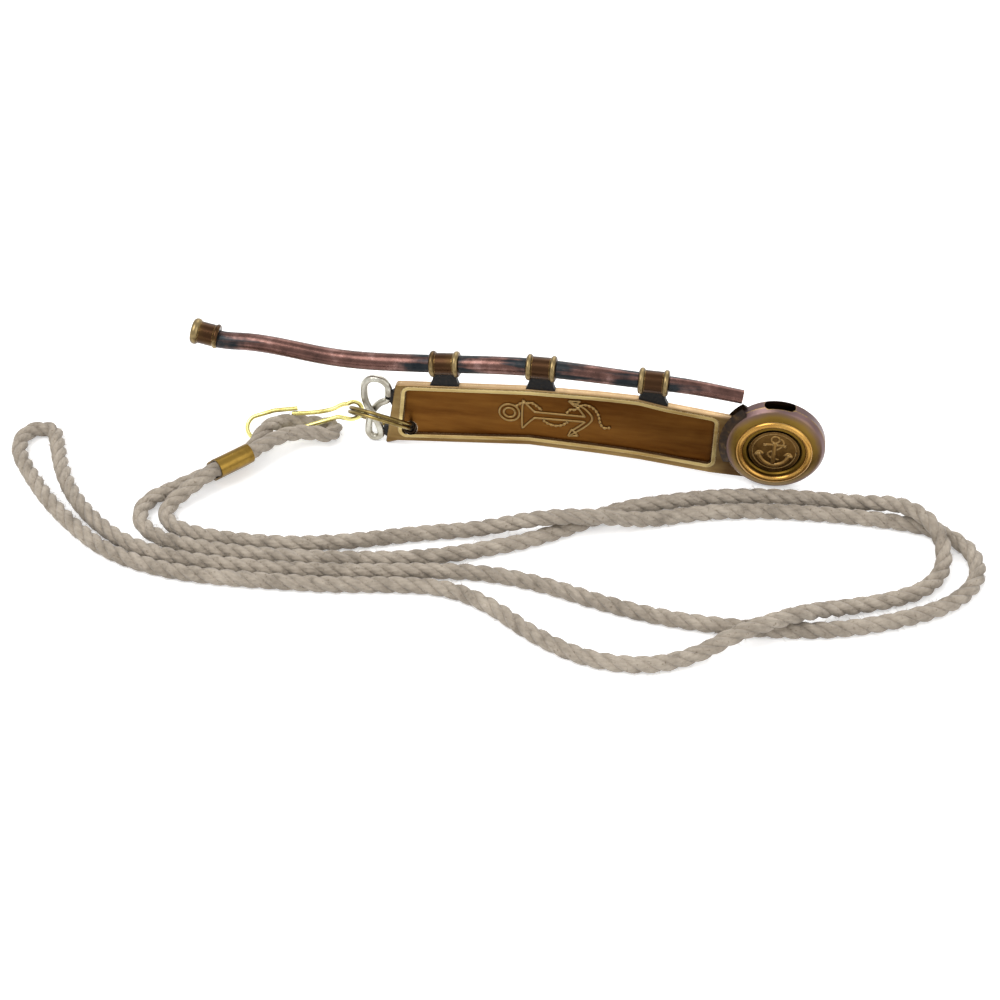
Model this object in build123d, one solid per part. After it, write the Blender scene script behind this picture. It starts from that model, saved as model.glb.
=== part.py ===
from build123d import *
import math
import os

# Boatswain call on a rope lanyard, in millimetres with +Z up.
# X runs along the call, from the mouth ring at -X to the buoy at +X.
# The front looks toward -Y, and Y = 0 is the call's middle plane.
# The buoy and the keel's end loop stand on Z = 0, and the rope lies on it.

# Gun: the bent blowing tube
GUN_D = 3.55
GUN_OUTLET_D = 2.75
GUN_WALL = 0.45
GUN_TAPER_X = 10.0
GUN_SECTIONS = 14
GUN_LINE = [(-46.2, 21.3), (-34.6, 20.0), (-23.0, 20.2), (-11.9, 21.1), (7.3, 22.5), (29.3, 21.9)]
GUN_OUTLET = (46.6, 20.5)
GUN_OUTLET_DROP = 7.0

# Mouth ring
MOUTH_END = (-57.87, 22.1)
MOUTH_DROOP = 11.0
MOUTH_L = 5.4
MOUTH_LIP_R = 2.65
MOUTH_LIP_W = 1.5
MOUTH_WAIST_R = 2.25
MOUTH_REAR_R = 2.5
MOUTH_REAR_W = 0.9
MOUTH_SEAT = 3.2

# Collars on the gun
COLLAR_X = [-11.9, 7.3, 29.3]
COLLAR_L = 6.9
COLLAR_HUB_R = 2.15
COLLAR_HUB_L = 0.5
COLLAR_RIM_R = 2.62
COLLAR_RIM_W = 1.15
COLLAR_WAIST_R = 2.2

# Solder feet between the collars and the keel
FOOT_TOP_L = 5.6
FOOT_NECK_L = 5.0
FOOT_BASE_L = 6.2

# Keel: two pressed plates, back to back
KEEL_HALF_T = 0.9
KEEL_WEB_HALF_T = 0.4
KEEL_TOP = [(-22.0, 15.3), (5.0, 17.5), (19.0, 17.85), (26.6, 17.8), (32.0, 16.8), (46.5, 15.2)]
KEEL_BOTTOM = [(50.5, 1.2), (41.8, 1.4), (27.6, 2.8), (19.7, 3.2), (5.2, 3.6), (-22.0, 1.0), (-24.6, 0.0)]
KEEL_CORNER_R = 1.0
KEEL_BEND_R = 9.0
KEEL_EDGE_ROUND = 0.35
PANEL_TOP_BORDER = 1.15
PANEL_BOTTOM_BORDER_LEFT = 1.9
PANEL_BOTTOM_BORDER_RIGHT = 2.2
PANEL_LEFT_TOP_X = -19.9
PANEL_LEFT_BOTTOM_X = -21.1
PANEL_CLEAR = 0.3
PANEL_CORNER_R = 0.9
BEAD_W = 0.8
BEAD_RISE = 0.18
BEAD_ROUND = 0.15

# Buoy: two pressed shells, a rim band, a bright ring and a medallion on each face
BUOY_X = 53.8
BUOY_R = 9.8
BUOY_WALL = 0.55
BUOY_FACE_H = 2.7
BUOY_SHOULDER_R = 9.2
BUOY_SHOULDER_H = 1.9
BUOY_FLOOR_R = 5.0
BUOY_FLOOR_H = 2.0
BUOY_DISH = 0.45
BUOY_FACE_R = 7.6
BUOY_RING_R = 6.75
BUOY_RING_WIRE_R = 0.7
BUOY_RING_SINK = 0.15
MEDALLION_T = 0.5
MEDALLION_CLEAR = 0.12
BLOW_HOLE_L = 6.0
BLOW_HOLE_W = 2.6
BLOW_HOLE_X = 53.9
SOLDER_LEG = 1.1
SOLDER_FROM = 152.0
SOLDER_TO = 230.0

# Keel end loop: a wire bent to a figure 8, with one strand in front at the crossing
LOOP_WIRE_D = 1.45
LOOP_LINE = [
    (-23.62, 0.0, 11.9), (-23.55, 0.0, 14.2), (-24.9, 0.0, 15.7), (-27.3, 0.0, 15.7),
    (-28.6, 0.0, 14.2), (-28.6, -0.4, 11.2), (-27.9, -0.8, 9.1), (-26.3, -0.8, 6.1),
    (-25.55, -0.5, 3.4), (-25.6, -0.2, 1.5), (-26.5, 0.0, 0.74), (-27.5, 0.0, 0.74),
    (-28.3, 0.2, 1.6), (-28.25, 0.5, 3.7), (-27.7, 0.8, 6.4), (-25.9, 0.8, 9.0),
    (-24.1, 0.4, 10.2), (-23.7, 0.1, 11.3),
]
LOOP_SOLDER_T = 1.0
LOOP_SOLDER_UPPER_Z = (9.8, 13.6)
LOOP_SOLDER_LOWER_Z = (1.6, 4.4)
LOOP_SOLDER_DEPTH = 0.8

# Split ring through the keel's hole; it hangs steeply and leans to the left
RING_R = 6.4
RING_WIRE_D = 0.75
RING_PITCH = 0.85
RING_TURNS = 1.94
RING_END_ANGLE = -110.0
HOLE_AT = (-19.4, 0.0, 4.0)
HOLE_R = 1.4
RING_OUT = Vector(-math.cos(math.radians(15.0)), 0.0, math.sin(math.radians(15.0)))
RING_DOWN = Vector(0.170, -0.755, 0.634)

# Snap hook and its gate, bent from one wire; S runs to the bend and W to the gate
HOOK_WIRE_D = 0.9
HOOK_EYE_ANGLE = -24.0
HOOK_S = Vector(-0.913, -0.349, -0.216)
HOOK_W = Vector(-0.387, 0.553, 0.738)
HOOK_EYE_R = 1.7
HOOK_EYE_CUT = 98.0
HOOK_SPINE_W = -0.4
HOOK_SPINE_FROM = (1.0, 3.4)
HOOK_BEND_S = 19.5
HOOK_BEND_R = 2.5
HOOK_ARM_S = 15.6
HOOK_TIP = (10.9, 3.65)
GATE_START_ANGLE = 82.0
GATE_LINE = [(2.0, 1.85), (4.1, 1.25), (8.7, 1.75), (12.3, 2.45)]
GATE_BENDS = [1.0, 1.6, 12.0]

# Lanyard: rope, ferrule and the small rope eye
ROPE_D = 3.2
ROPE_ARC_SHARE = 0.45
FERRULE_AT = (-52.8, -15.85, 3.25)
FERRULE_LEAN = 45.0
FERRULE_AXIS = Vector(0.648, 0.761, 0.0)
FERRULE_L = 7.6
FERRULE_WALL = 0.35
STRAND_GAP = 0.1
FERRULE_CLEAR = 0.05
ROPE_LOOP = [
    (-52.1, -16.83, 4.42), (-55.28, -20.56, 4.42), (-58.6, -24.6, 3.2), (-62.0, -29.0, 1.6),
    (-60.8, -33.6, 1.6), (-54.6, -36.0, 1.6), (-44.0, -36.3, 1.6), (-33.0, -35.3, 1.6),
    (-22.0, -32.2, 1.6), (-11.0, -28.2, 1.6), (-0.5, -25.4, 1.6), (10.0, -24.2, 5.0),
    (20.0, -21.8, 5.0), (31.0, -17.6, 1.6), (41.0, -13.3, 1.6), (52.0, -10.9, 1.6),
    (63.0, -9.9, 1.6), (74.0, -9.6, 1.6), (85.0, -10.2, 1.6), (92.8, -15.2, 1.6),
    (94.0, -23.5, 1.6), (88.5, -31.5, 1.6), (78.5, -37.3, 1.6), (67.5, -41.6, 1.6),
    (56.5, -43.3, 1.6), (45.0, -43.9, 1.6), (34.5, -43.3, 1.6), (24.5, -41.4, 1.6),
    (14.5, -38.6, 1.6), (4.0, -37.2, 1.6), (-6.5, -38.1, 1.6), (-17.0, -40.2, 1.6),
    (-27.0, -41.7, 1.6), (-37.0, -42.8, 1.6), (-47.0, -43.2, 1.6), (-57.0, -43.0, 1.6),
    (-67.0, -40.5, 1.6), (-75.5, -34.8, 1.6), (-82.0, -28.2, 1.6), (-86.6, -21.2, 1.6),
    (-89.8, -14.6, 1.6), (-92.4, -9.4, 1.6), (-97.8, -10.8, 1.6), (-97.6, -17.2, 1.6),
    (-92.0, -24.2, 1.6), (-85.6, -31.2, 1.6), (-77.8, -37.8, 1.6), (-69.0, -43.6, 1.6),
    (-58.0, -46.5, 1.6), (-47.0, -46.8, 1.6), (-36.0, -46.1, 1.6), (-25.0, -45.2, 1.6),
    (-14.0, -43.2, 1.6), (-4.0, -42.2, 1.6), (5.0, -45.4, 1.6), (13.5, -51.6, 1.6),
    (24.0, -56.2, 1.6), (35.0, -56.2, 1.6), (43.5, -52.0, 1.6), (50.5, -48.0, 5.0),
    (61.5, -41.2, 5.0), (69.5, -35.2, 1.6), (77.5, -32.0, 1.6), (84.0, -28.0, 1.6),
    (87.8, -21.0, 1.6), (86.0, -13.8, 5.0), (79.5, -8.0, 5.0), (71.0, -5.4, 1.6),
    (61.0, -5.6, 1.6), (51.0, -6.6, 1.6), (42.0, -8.6, 1.6), (33.5, -11.6, 1.6),
    (25.2, -15.0, 1.6), (17.6, -21.2, 1.6), (10.0, -26.6, 1.6), (1.0, -31.0, 1.6),
    (-8.0, -34.6, 1.6), (-18.0, -37.0, 1.6), (-29.0, -38.5, 1.6), (-40.0, -39.5, 1.6),
    (-51.0, -39.6, 1.6), (-61.0, -38.4, 1.6), (-66.6, -33.6, 1.6), (-66.4, -27.8, 1.6),
    (-61.8, -23.2, 1.6), (-57.06, -19.05, 2.08), (-53.88, -15.32, 2.08),
]
ROPE_EYE = [
    (-51.07, -15.62, 4.42), (-48.54, -12.65, 4.42), (-45.6, -8.0, 4.3), (-42.2, -4.9, 3.7),
    (-38.6, -3.75, 3.2), (-35.2, -3.4, 2.4), (-35.2, 1.2, 1.6), (-39.5, 1.0, 1.7),
    (-44.4, 0.5, 2.15), (-47.38, -2.54, 3.6), (-48.76, -5.83, 4.05), (-50.32, -11.14, 2.08),
    (-52.85, -14.1, 2.08),
]


def at(plane, solid):
    """The solid moved from the origin's frame to the plane's frame."""
    return Location(plane) * solid


def turned(profile):
    """Solid turned about Z from a closed (radius, height) profile made of edges."""
    return revolve(make_face(Plane.XZ * profile), Axis.Z)


def wire_along(path, diameter):
    """Round wire or rope of the given diameter along a path."""
    start = Plane(origin=path @ 0, z_dir=path % 0)
    return sweep(start * Circle(diameter / 2), path)


def level(points, x):
    """Height at x of an outline given as (x, z) points."""
    line = sorted(points)
    for (x0, z0), (x1, z1) in zip(line, line[1:]):
        if x0 <= x <= x1:
            return z0 + (z1 - z0) * (x - x0) / (x1 - x0)
    return line[0][1] if x < line[0][0] else line[-1][1]


# Gun and mouth ring
def mouth_plane():
    """Plane at the mouth ring's rear end, its normal along the tube toward the buoy."""
    droop = math.radians(MOUTH_DROOP)
    axis = (math.cos(droop), 0, -math.sin(droop))
    return Plane(origin=(MOUTH_END[0], 0, MOUTH_END[1]), x_dir=(0, 1, 0), z_dir=axis)


def gun_spine():
    """The tube's centreline, straight into the mouth ring and dropping at the outlet."""
    mouth = mouth_plane()
    drop = math.radians(GUN_OUTLET_DROP)
    start = mouth.from_local_coords(Vector(0, 0, -MOUTH_SEAT))
    knots = [start, mouth.origin] + [Vector(x, 0, z) for x, z in GUN_LINE + [GUN_OUTLET]]
    return Spline(*knots, tangents=[mouth.z_dir, (math.cos(drop), 0, -math.sin(drop))])


def gun_plane(spine, t):
    """Plane square to the tube at a share t of its length."""
    return Plane(origin=spine @ t, x_dir=(0, 1, 0), z_dir=spine % t)


def gun_body(spine, thinner=0.0):
    """The tube's outside as a solid, or its bore when made thinner by two walls."""
    sections = []
    for i in range(GUN_SECTIONS):
        plane = gun_plane(spine, i / (GUN_SECTIONS - 1))
        taper = max(0.0, plane.origin.X - GUN_TAPER_X) / (GUN_OUTLET[0] - GUN_TAPER_X)
        diameter = GUN_D + (GUN_OUTLET_D - GUN_D) * taper - thinner
        sections.append(plane * Circle(diameter / 2))
    return loft(sections)


def share_at_x(spine, x):
    """Share of the tube's length at which it passes x."""
    low, high = 0.0, 1.0
    for _ in range(40):
        middle = (low + high) / 2
        if (spine @ middle).X < x:
            low = middle
        else:
            high = middle
    return low


def mouth_ring(gun):
    """Turned brass ring with a rolled lip in front and a smaller lip behind."""
    lip_from = -MOUTH_L + MOUTH_LIP_W
    lip = ThreePointArc(
        (MOUTH_WAIST_R, lip_from), (MOUTH_LIP_R, lip_from - MOUTH_LIP_W * 0.45), (MOUTH_WAIST_R, -MOUTH_L)
    )
    waist = Line((MOUTH_WAIST_R, -MOUTH_REAR_W), (MOUTH_WAIST_R, lip_from))
    rear = ThreePointArc((MOUTH_WAIST_R, 0), (MOUTH_REAR_R, -MOUTH_REAR_W / 2), (MOUTH_WAIST_R, -MOUTH_REAR_W))
    bore_r = GUN_D / 2 - GUN_WALL
    inside = Polyline((MOUTH_WAIST_R, -MOUTH_L), (bore_r, -MOUTH_L), (bore_r, 0), (MOUTH_WAIST_R, 0))
    return at(mouth_plane(), turned(lip + waist + rear + inside)) - gun


def collar_body(plane):
    """A collar without its bore: a hub and a rounded rim at each end of a waist."""
    half = COLLAR_L / 2
    rim_out = half - COLLAR_HUB_L
    rim_in = rim_out - COLLAR_RIM_W
    rim_mid = (rim_out + rim_in) / 2
    profile = Polyline((0, -half), (COLLAR_HUB_R, -rim_out))
    profile += ThreePointArc((COLLAR_HUB_R, -rim_out), (COLLAR_RIM_R, -rim_mid), (COLLAR_WAIST_R, -rim_in))
    profile += Line((COLLAR_WAIST_R, -rim_in), (COLLAR_WAIST_R, rim_in))
    profile += ThreePointArc((COLLAR_WAIST_R, rim_in), (COLLAR_RIM_R, rim_mid), (COLLAR_HUB_R, rim_out))
    profile += Polyline((COLLAR_HUB_R, rim_out), (0, half), (0, -half))
    return at(plane, turned(profile))


def solder_foot(plane, collar_outside, keel_outside):
    """Waisted solder block from the keel's top edge up to a collar."""
    x, top = plane.origin.X, plane.origin.Z
    base = level(KEEL_TOP, x) - KEEL_EDGE_ROUND
    neck = (level(KEEL_TOP, x) + top - COLLAR_RIM_R) / 2
    right = ThreePointArc((x + FOOT_BASE_L / 2, base), (x + FOOT_NECK_L / 2, neck), (x + FOOT_TOP_L / 2, top))
    left = ThreePointArc((x - FOOT_TOP_L / 2, top), (x - FOOT_NECK_L / 2, neck), (x - FOOT_BASE_L / 2, base))
    caps = Line(left @ 1, right @ 0) + Line(right @ 1, left @ 0)
    block = extrude(make_face(Plane.XZ * (right + left + caps)), KEEL_HALF_T - KEEL_EDGE_ROUND, both=True)
    return block - collar_outside - keel_outside


# Keel
def keel_outline():
    """Outline of the keel, run on into the buoy, where the buoy cuts it."""
    ends = len(KEEL_TOP) - 1
    radii = [KEEL_CORNER_R] + [KEEL_BEND_R] * (ends - 1) + [0, 0]
    radii += [KEEL_BEND_R] * (len(KEEL_BOTTOM) - 3) + [2 * KEEL_CORNER_R, KEEL_CORNER_R / 3]
    return make_face(FilletPolyline(*KEEL_TOP, *KEEL_BOTTOM, radius=radii, close=True))


def panel_outline():
    """Outline of the recessed panel, a border's width inside the keel's outline."""
    right_x = BUOY_X - BUOY_R - SOLDER_LEG - BEAD_W - PANEL_CLEAR

    def floor(x):
        share = (x - PANEL_LEFT_BOTTOM_X) / (right_x - PANEL_LEFT_BOTTOM_X)
        border = PANEL_BOTTOM_BORDER_LEFT + (PANEL_BOTTOM_BORDER_RIGHT - PANEL_BOTTOM_BORDER_LEFT) * share
        return (x, level(KEEL_BOTTOM, x) + border)

    upper = [PANEL_LEFT_TOP_X] + [x for x, _ in KEEL_TOP[1:-1]] + [right_x]
    lower = [right_x] + [x for x, _ in KEEL_BOTTOM[2:-2]] + [PANEL_LEFT_BOTTOM_X]
    corners = [(x, level(KEEL_TOP, x) - PANEL_TOP_BORDER) for x in upper] + [floor(x) for x in lower]
    bends = [PANEL_CORNER_R] + [KEEL_BEND_R] * (len(upper) - 2) + [PANEL_CORNER_R]
    bends += [PANEL_CORNER_R] + [KEEL_BEND_R] * (len(lower) - 2) + [PANEL_CORNER_R]
    return make_face(FilletPolyline(*corners, radius=bends, close=True))


def edges_at(solid, depth):
    """Edges of a plate that lie in the plane Y = -depth."""
    return solid.edges().filter_by_position(Axis.Y, -depth - 0.01, -depth + 0.01)


def keel_front(buoy, hole):
    """Front plate: rounded rim, raised bead and sunk panel, cut for the buoy and the ring."""
    plate = extrude(Plane.XZ * keel_outline(), KEEL_HALF_T)
    plate = fillet(edges_at(plate, KEEL_HALF_T), KEEL_EDGE_ROUND)
    panel = panel_outline()
    bead = extrude(Plane.XZ * offset(panel, BEAD_W), KEEL_HALF_T + BEAD_RISE)
    plate = plate + bead - extrude(Plane.XZ.offset(KEEL_WEB_HALF_T) * panel, KEEL_HALF_T)
    plate = fillet(edges_at(plate, KEEL_HALF_T + BEAD_RISE), BEAD_ROUND)
    return plate - buoy - hole


# Buoy
def buoy_plane():
    """The buoy's middle plane, its normal toward the front."""
    return Plane(origin=(BUOY_X, 0, BUOY_R), x_dir=(1, 0, 0), z_dir=(0, -1, 0))


def blow_hole():
    """Slot in the buoy's top, in line with the gun's outlet."""
    slot = Pos(BLOW_HOLE_X, 0, BUOY_R) * RectangleRounded(BLOW_HOLE_L, BLOW_HOLE_W, BLOW_HOLE_W * 0.4)
    return extrude(slot, 2 * BUOY_R)


def buoy_face():
    """Outer (radius, height) corners of a shell, from its centre to the rim band."""
    return [
        (0, BUOY_FLOOR_H), (BUOY_FLOOR_R, BUOY_FLOOR_H), (BUOY_FLOOR_R + BUOY_DISH, BUOY_FACE_H),
        (BUOY_FACE_R, BUOY_FACE_H), (BUOY_SHOULDER_R, BUOY_SHOULDER_H), (BUOY_R, KEEL_HALF_T),
    ]


def buoy_front_shell():
    """Pressed half of the buoy: rolled shoulder, flat ring bed and dished floor."""
    wall = BUOY_WALL
    inner = [
        (BUOY_R - wall, KEEL_HALF_T), (BUOY_SHOULDER_R - wall, BUOY_SHOULDER_H - wall * 0.7),
        (BUOY_FACE_R - wall * 0.4, BUOY_FACE_H - wall), (BUOY_FLOOR_R + BUOY_DISH + wall * 0.5, BUOY_FACE_H - wall),
        (BUOY_FLOOR_R + wall * 0.6, BUOY_FLOOR_H - wall), (0, BUOY_FLOOR_H - wall),
    ]
    rounds = [0, 0, 0.2, 0.8, 0.9, 0, 0, 0.6, 0.5, 0.4, 0.3, 0]
    outline = FilletPolyline(*buoy_face(), *inner, radius=rounds, close=True)
    return at(buoy_plane(), turned(outline)) - blow_hole()


def buoy_core():
    """The whole outside of the buoy as a solid, to cut what meets it."""
    face = buoy_face()
    corners = face + [(r, -h) for r, h in reversed(face)]
    outline = FilletPolyline(*corners, radius=[0, 0, 0.2, 0.8, 0.9, 0, 0, 0.9, 0.8, 0.2, 0, 0], close=True)
    return at(buoy_plane(), turned(outline))


def buoy_band():
    """Rim band over the seam, open at the blow-hole."""
    ring = Cylinder(BUOY_R, 2 * KEEL_HALF_T) - Cylinder(BUOY_R - BUOY_WALL, 2 * KEEL_HALF_T)
    return at(buoy_plane(), ring) - blow_hole()


def buoy_ring(core):
    """Bright round ring sunk a little into the shell's face."""
    height = BUOY_FACE_H - BUOY_RING_SINK
    return at(buoy_plane(), Pos(0, 0, height) * Torus(BUOY_RING_R, BUOY_RING_WIRE_R)) - core


def medallion():
    """Disc with a small raised rim, laid in the shell's floor."""
    radius = BUOY_FLOOR_R - MEDALLION_CLEAR
    disc = Pos(0, 0, BUOY_FLOOR_H + MEDALLION_T / 2) * Cylinder(radius, MEDALLION_T)
    well = Pos(0, 0, BUOY_FLOOR_H + MEDALLION_T) * Cylinder(radius * 0.9, MEDALLION_T * 0.4)
    return at(buoy_plane(), disc - well)


def buoy_solder(core, keel):
    """Crescent of solder in the corner between the keel's face and the buoy."""
    slope = (BUOY_R - BUOY_SHOULDER_R) / (BUOY_SHOULDER_H - KEEL_HALF_T)
    rise = SOLDER_LEG * 0.7
    profile = Polyline(
        (BUOY_R - 0.3, KEEL_HALF_T), (BUOY_R + SOLDER_LEG, KEEL_HALF_T),
        (BUOY_R - slope * rise, KEEL_HALF_T + rise), close=True
    )
    section = Rot(0, 0, -SOLDER_TO) * make_face(Plane.XZ * profile)
    return at(Plane(buoy_plane().origin, (1, 0, 0), (0, -1, 0)), revolve(section, Axis.Z, SOLDER_TO - SOLDER_FROM)) - core - keel


# Keel end loop
def bent_line(points, share):
    """Straight runs with tangent arcs, each arc a share of its shorter run, and the arcs' radii."""
    radii = []
    for before, corner, after in zip(points, points[1:], points[2:]):
        first = Vector(*corner) - Vector(*before)
        second = Vector(*after) - Vector(*corner)
        turn = math.radians(first.get_angle(second))
        radii.append(share * min(first.length, second.length) / math.tan(turn / 2))
    return FilletPolyline(*points, radius=radii), radii


def end_loop():
    """Figure-8 wire at the keel's left end."""
    path, _ = bent_line(LOOP_LINE, ROPE_ARC_SHARE)
    return wire_along(path, LOOP_WIRE_D)


def loop_solder(span, wire, keel):
    """Solder that holds the end loop to the keel's left edge over a span of heights."""
    low, high = span
    edge = [KEEL_TOP[0], KEEL_BOTTOM[-1]]
    def edge_x(z):
        (x0, z0), (x1, z1) = edge
        return x1 + (x0 - x1) * (z - z1) / (z0 - z1)

    inset, reach = LOOP_SOLDER_DEPTH / 2, LOOP_SOLDER_DEPTH
    middle = (low + high) / 2
    corners = [
        (edge_x(low) + inset, low), (edge_x(high) + inset, high), (edge_x(high), high),
        (edge_x(middle) - reach, middle + 1), (edge_x(middle) - reach, middle - 1), (edge_x(low), low),
    ]
    block = extrude(Plane.XZ * make_face(Polyline(*corners, close=True)), LOOP_SOLDER_T / 2, both=True)
    return block - wire - keel


# Split ring, hook and gate
def ring_plane():
    """Plane of the split ring: X points away from the keel's hole, Y toward the front."""
    return Plane(origin=Vector(*HOLE_AT) + RING_OUT * RING_R, x_dir=RING_OUT, z_dir=RING_OUT.cross(RING_DOWN))


def split_ring():
    """Two close turns of wire."""
    height = RING_PITCH * RING_TURNS
    turns = Helix(RING_PITCH, height, RING_R)
    coil = sweep(Plane(origin=turns @ 0, z_dir=turns % 0) * Circle(RING_WIRE_D / 2), turns, is_frenet=True)
    return at(ring_plane(), Rot(0, 0, RING_END_ANGLE) * Pos(0, 0, -height / 2) * coil)


def keel_hole():
    """The hole drilled through the keel along the ring's lie."""
    drill = Plane(origin=HOLE_AT, z_dir=RING_DOWN)
    return at(drill, Cylinder(HOLE_R, 12 * KEEL_HALF_T))


def hook_plane():
    """Plane of the snap hook at its eye's centre, on the split ring."""
    turn = math.radians(HOOK_EYE_ANGLE)
    centre = ring_plane().from_local_coords(Vector(RING_R * math.cos(turn), RING_R * math.sin(turn), 0))
    return Plane(origin=centre, x_dir=HOOK_S, z_dir=HOOK_S.cross(HOOK_W))


def on_eye(angle):
    """Point of the hook eye's centreline at an angle from S toward W."""
    turn = math.radians(angle)
    return (HOOK_EYE_R * math.cos(turn), HOOK_EYE_R * math.sin(turn))


def snap_hook():
    """Hook wire: round the eye, along the spine, round the bend and back along the arm."""
    arm_w = HOOK_SPINE_W + 2 * HOOK_BEND_R
    rise_from, rise_to = HOOK_SPINE_FROM
    eye = CenterArc((0, 0), HOOK_EYE_R, HOOK_EYE_CUT, 270 - HOOK_EYE_CUT)
    spine = FilletPolyline(
        (0, -HOOK_EYE_R), (rise_from, -HOOK_EYE_R), (rise_to, HOOK_SPINE_W), (HOOK_BEND_S, HOOK_SPINE_W),
        radius=[HOOK_EYE_R, HOOK_EYE_R]
    )
    bend = CenterArc((HOOK_BEND_S, HOOK_SPINE_W + HOOK_BEND_R), HOOK_BEND_R, -90, 180)
    arm = FilletPolyline((HOOK_BEND_S, arm_w), (HOOK_ARM_S, arm_w), HOOK_TIP, radius=[2 * HOOK_BEND_R])
    return at(hook_plane(), wire_along(Wire((eye + spine + bend + arm).edges()), HOOK_WIRE_D))


def snap_gate():
    """Gate wire: from the eye's top through a kink to the free end behind the arm's tip."""
    path = FilletPolyline(on_eye(GATE_START_ANGLE), *GATE_LINE, radius=GATE_BENDS)
    return at(hook_plane(), wire_along(path, HOOK_WIRE_D))


# Lanyard
def ferrule():
    """Flattened brass tube crimped round two strands of rope, leaning on its lower edge."""
    width = 2 * ROPE_D + STRAND_GAP + 2 * FERRULE_CLEAR
    height = ROPE_D + 2 * FERRULE_CLEAR
    bore = RectangleRounded(width, height, height * 0.49)
    outside = RectangleRounded(width + 2 * FERRULE_WALL, height + 2 * FERRULE_WALL, height * 0.49 + FERRULE_WALL)
    tube = extrude(outside - bore, FERRULE_L / 2, both=True)
    lean = math.radians(FERRULE_LEAN)
    across = FERRULE_AXIS.cross(Vector(0, 0, 1)) * math.cos(lean) + Vector(0, 0, 1) * math.sin(lean)
    return at(Plane(origin=FERRULE_AT, x_dir=across, z_dir=FERRULE_AXIS), tube)


def rope(name, points):
    """Rope along a route of hand-chosen points; prints its length, radii and volume share."""
    path, radii = bent_line(points, ROPE_ARC_SHARE)
    solid = wire_along(path, ROPE_D)
    section = math.pi * ROPE_D ** 2 / 4
    print(name, "length", round(path.length, 1), "volume share", round(solid.volume / (section * path.length), 4))
    print(name, "radii", [round(r, 1) for r in radii])
    return solid


def build():
    """Every piece by name."""
    spine = gun_spine()
    gun = gun_body(spine)
    core = buoy_core()
    front = keel_front(core, keel_hole())
    back = mirror(keel_front(core, mirror(keel_hole(), Plane.XZ)), Plane.XZ)
    keel = front + back
    shell = buoy_front_shell()
    crescent = buoy_solder(core, keel)
    loop = end_loop()
    pieces = {
        "gun_tube": gun - gun_body(spine, 2 * GUN_WALL),
        "mouth_ring": mouth_ring(gun),
        "keel_front_plate": front,
        "keel_back_plate": back,
        "buoy_front_shell": shell,
        "buoy_back_shell": mirror(shell, Plane.XZ),
        "buoy_rim_band": buoy_band(),
        "buoy_front_ring": buoy_ring(core),
        "buoy_back_ring": mirror(buoy_ring(core), Plane.XZ),
        "front_medallion": medallion(),
        "back_medallion": mirror(medallion(), Plane.XZ),
        "buoy_solder_front": crescent,
        "buoy_solder_back": mirror(crescent, Plane.XZ),
        "keel_end_loop": loop,
        "loop_solder_upper": loop_solder(LOOP_SOLDER_UPPER_Z, loop, keel),
        "loop_solder_lower": loop_solder(LOOP_SOLDER_LOWER_Z, loop, keel),
        "split_ring": split_ring(),
        "snap_hook": snap_hook(),
        "snap_gate": snap_gate(),
        "lanyard_ferrule": ferrule(),
        "lanyard_rope": rope("lanyard_rope", ROPE_LOOP),
        "lanyard_eye": rope("lanyard_eye", ROPE_EYE),
    }
    for number, x in enumerate(COLLAR_X, start=1):
        plane = gun_plane(spine, share_at_x(spine, x))
        collar = collar_body(plane)
        pieces[f"collar_{number}"] = collar - gun
        pieces[f"solder_foot_{number}"] = solder_foot(plane, collar + gun, keel)
    return pieces


os.makedirs("parts", exist_ok=True)
for name, solid in build().items():
    bounds = solid.bounding_box()
    low, high = bounds.min, bounds.max
    print(f"{name}: {len(solid.solids())} solid, {solid.volume:.2f} mm3, "
          f"x {low.X:.2f}..{high.X:.2f}, y {low.Y:.2f}..{high.Y:.2f}, z {low.Z:.2f}..{high.Z:.2f}")
    export_step(solid, f"parts/{name}.step")
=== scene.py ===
"""A boatswain call and its rope lanyard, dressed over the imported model."""

import logging
import math
import random
from dataclasses import dataclass
from enum import Enum
from typing import Sequence

import bpy
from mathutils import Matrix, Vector


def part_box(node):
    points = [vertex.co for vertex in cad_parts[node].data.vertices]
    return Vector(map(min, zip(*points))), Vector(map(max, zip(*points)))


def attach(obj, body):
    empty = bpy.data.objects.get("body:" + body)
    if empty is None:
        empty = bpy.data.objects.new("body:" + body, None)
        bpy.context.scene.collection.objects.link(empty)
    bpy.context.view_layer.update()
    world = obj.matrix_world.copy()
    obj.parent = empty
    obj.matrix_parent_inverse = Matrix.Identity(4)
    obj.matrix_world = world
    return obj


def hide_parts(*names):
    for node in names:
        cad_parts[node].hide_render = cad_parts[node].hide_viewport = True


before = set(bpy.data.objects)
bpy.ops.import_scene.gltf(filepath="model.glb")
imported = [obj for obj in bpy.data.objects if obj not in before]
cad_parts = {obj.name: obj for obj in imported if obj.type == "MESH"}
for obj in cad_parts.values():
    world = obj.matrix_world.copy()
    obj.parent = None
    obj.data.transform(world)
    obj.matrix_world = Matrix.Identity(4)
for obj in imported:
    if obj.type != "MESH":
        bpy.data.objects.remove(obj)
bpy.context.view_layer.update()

# Short names of types; a mesh is its vertices, faces and (u, v) coordinates
Tree = bpy.types.NodeTree
Socket = bpy.types.NodeSocket
Piece = bpy.types.Object
Mesh = tuple[list, list, list]

LOG = logging.getLogger("boatswain_call")
MM = 0.001
WHITE = (1.0, 1.0, 1.0, 1.0)
UP = Vector((0, 0, 1))
FRONT = Vector((0, -1, 0))
TINY = 1e-12

# Octaves of a noise, from even specks to ragged clouds, and how strongly the finer ones break a cloud up
EVEN, GRAINY, LUMPY, CLOUDY, RAGGED = 2.0, 3.0, 4.0, 5.0, 6.0
BREAK_UP = 0.6

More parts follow.
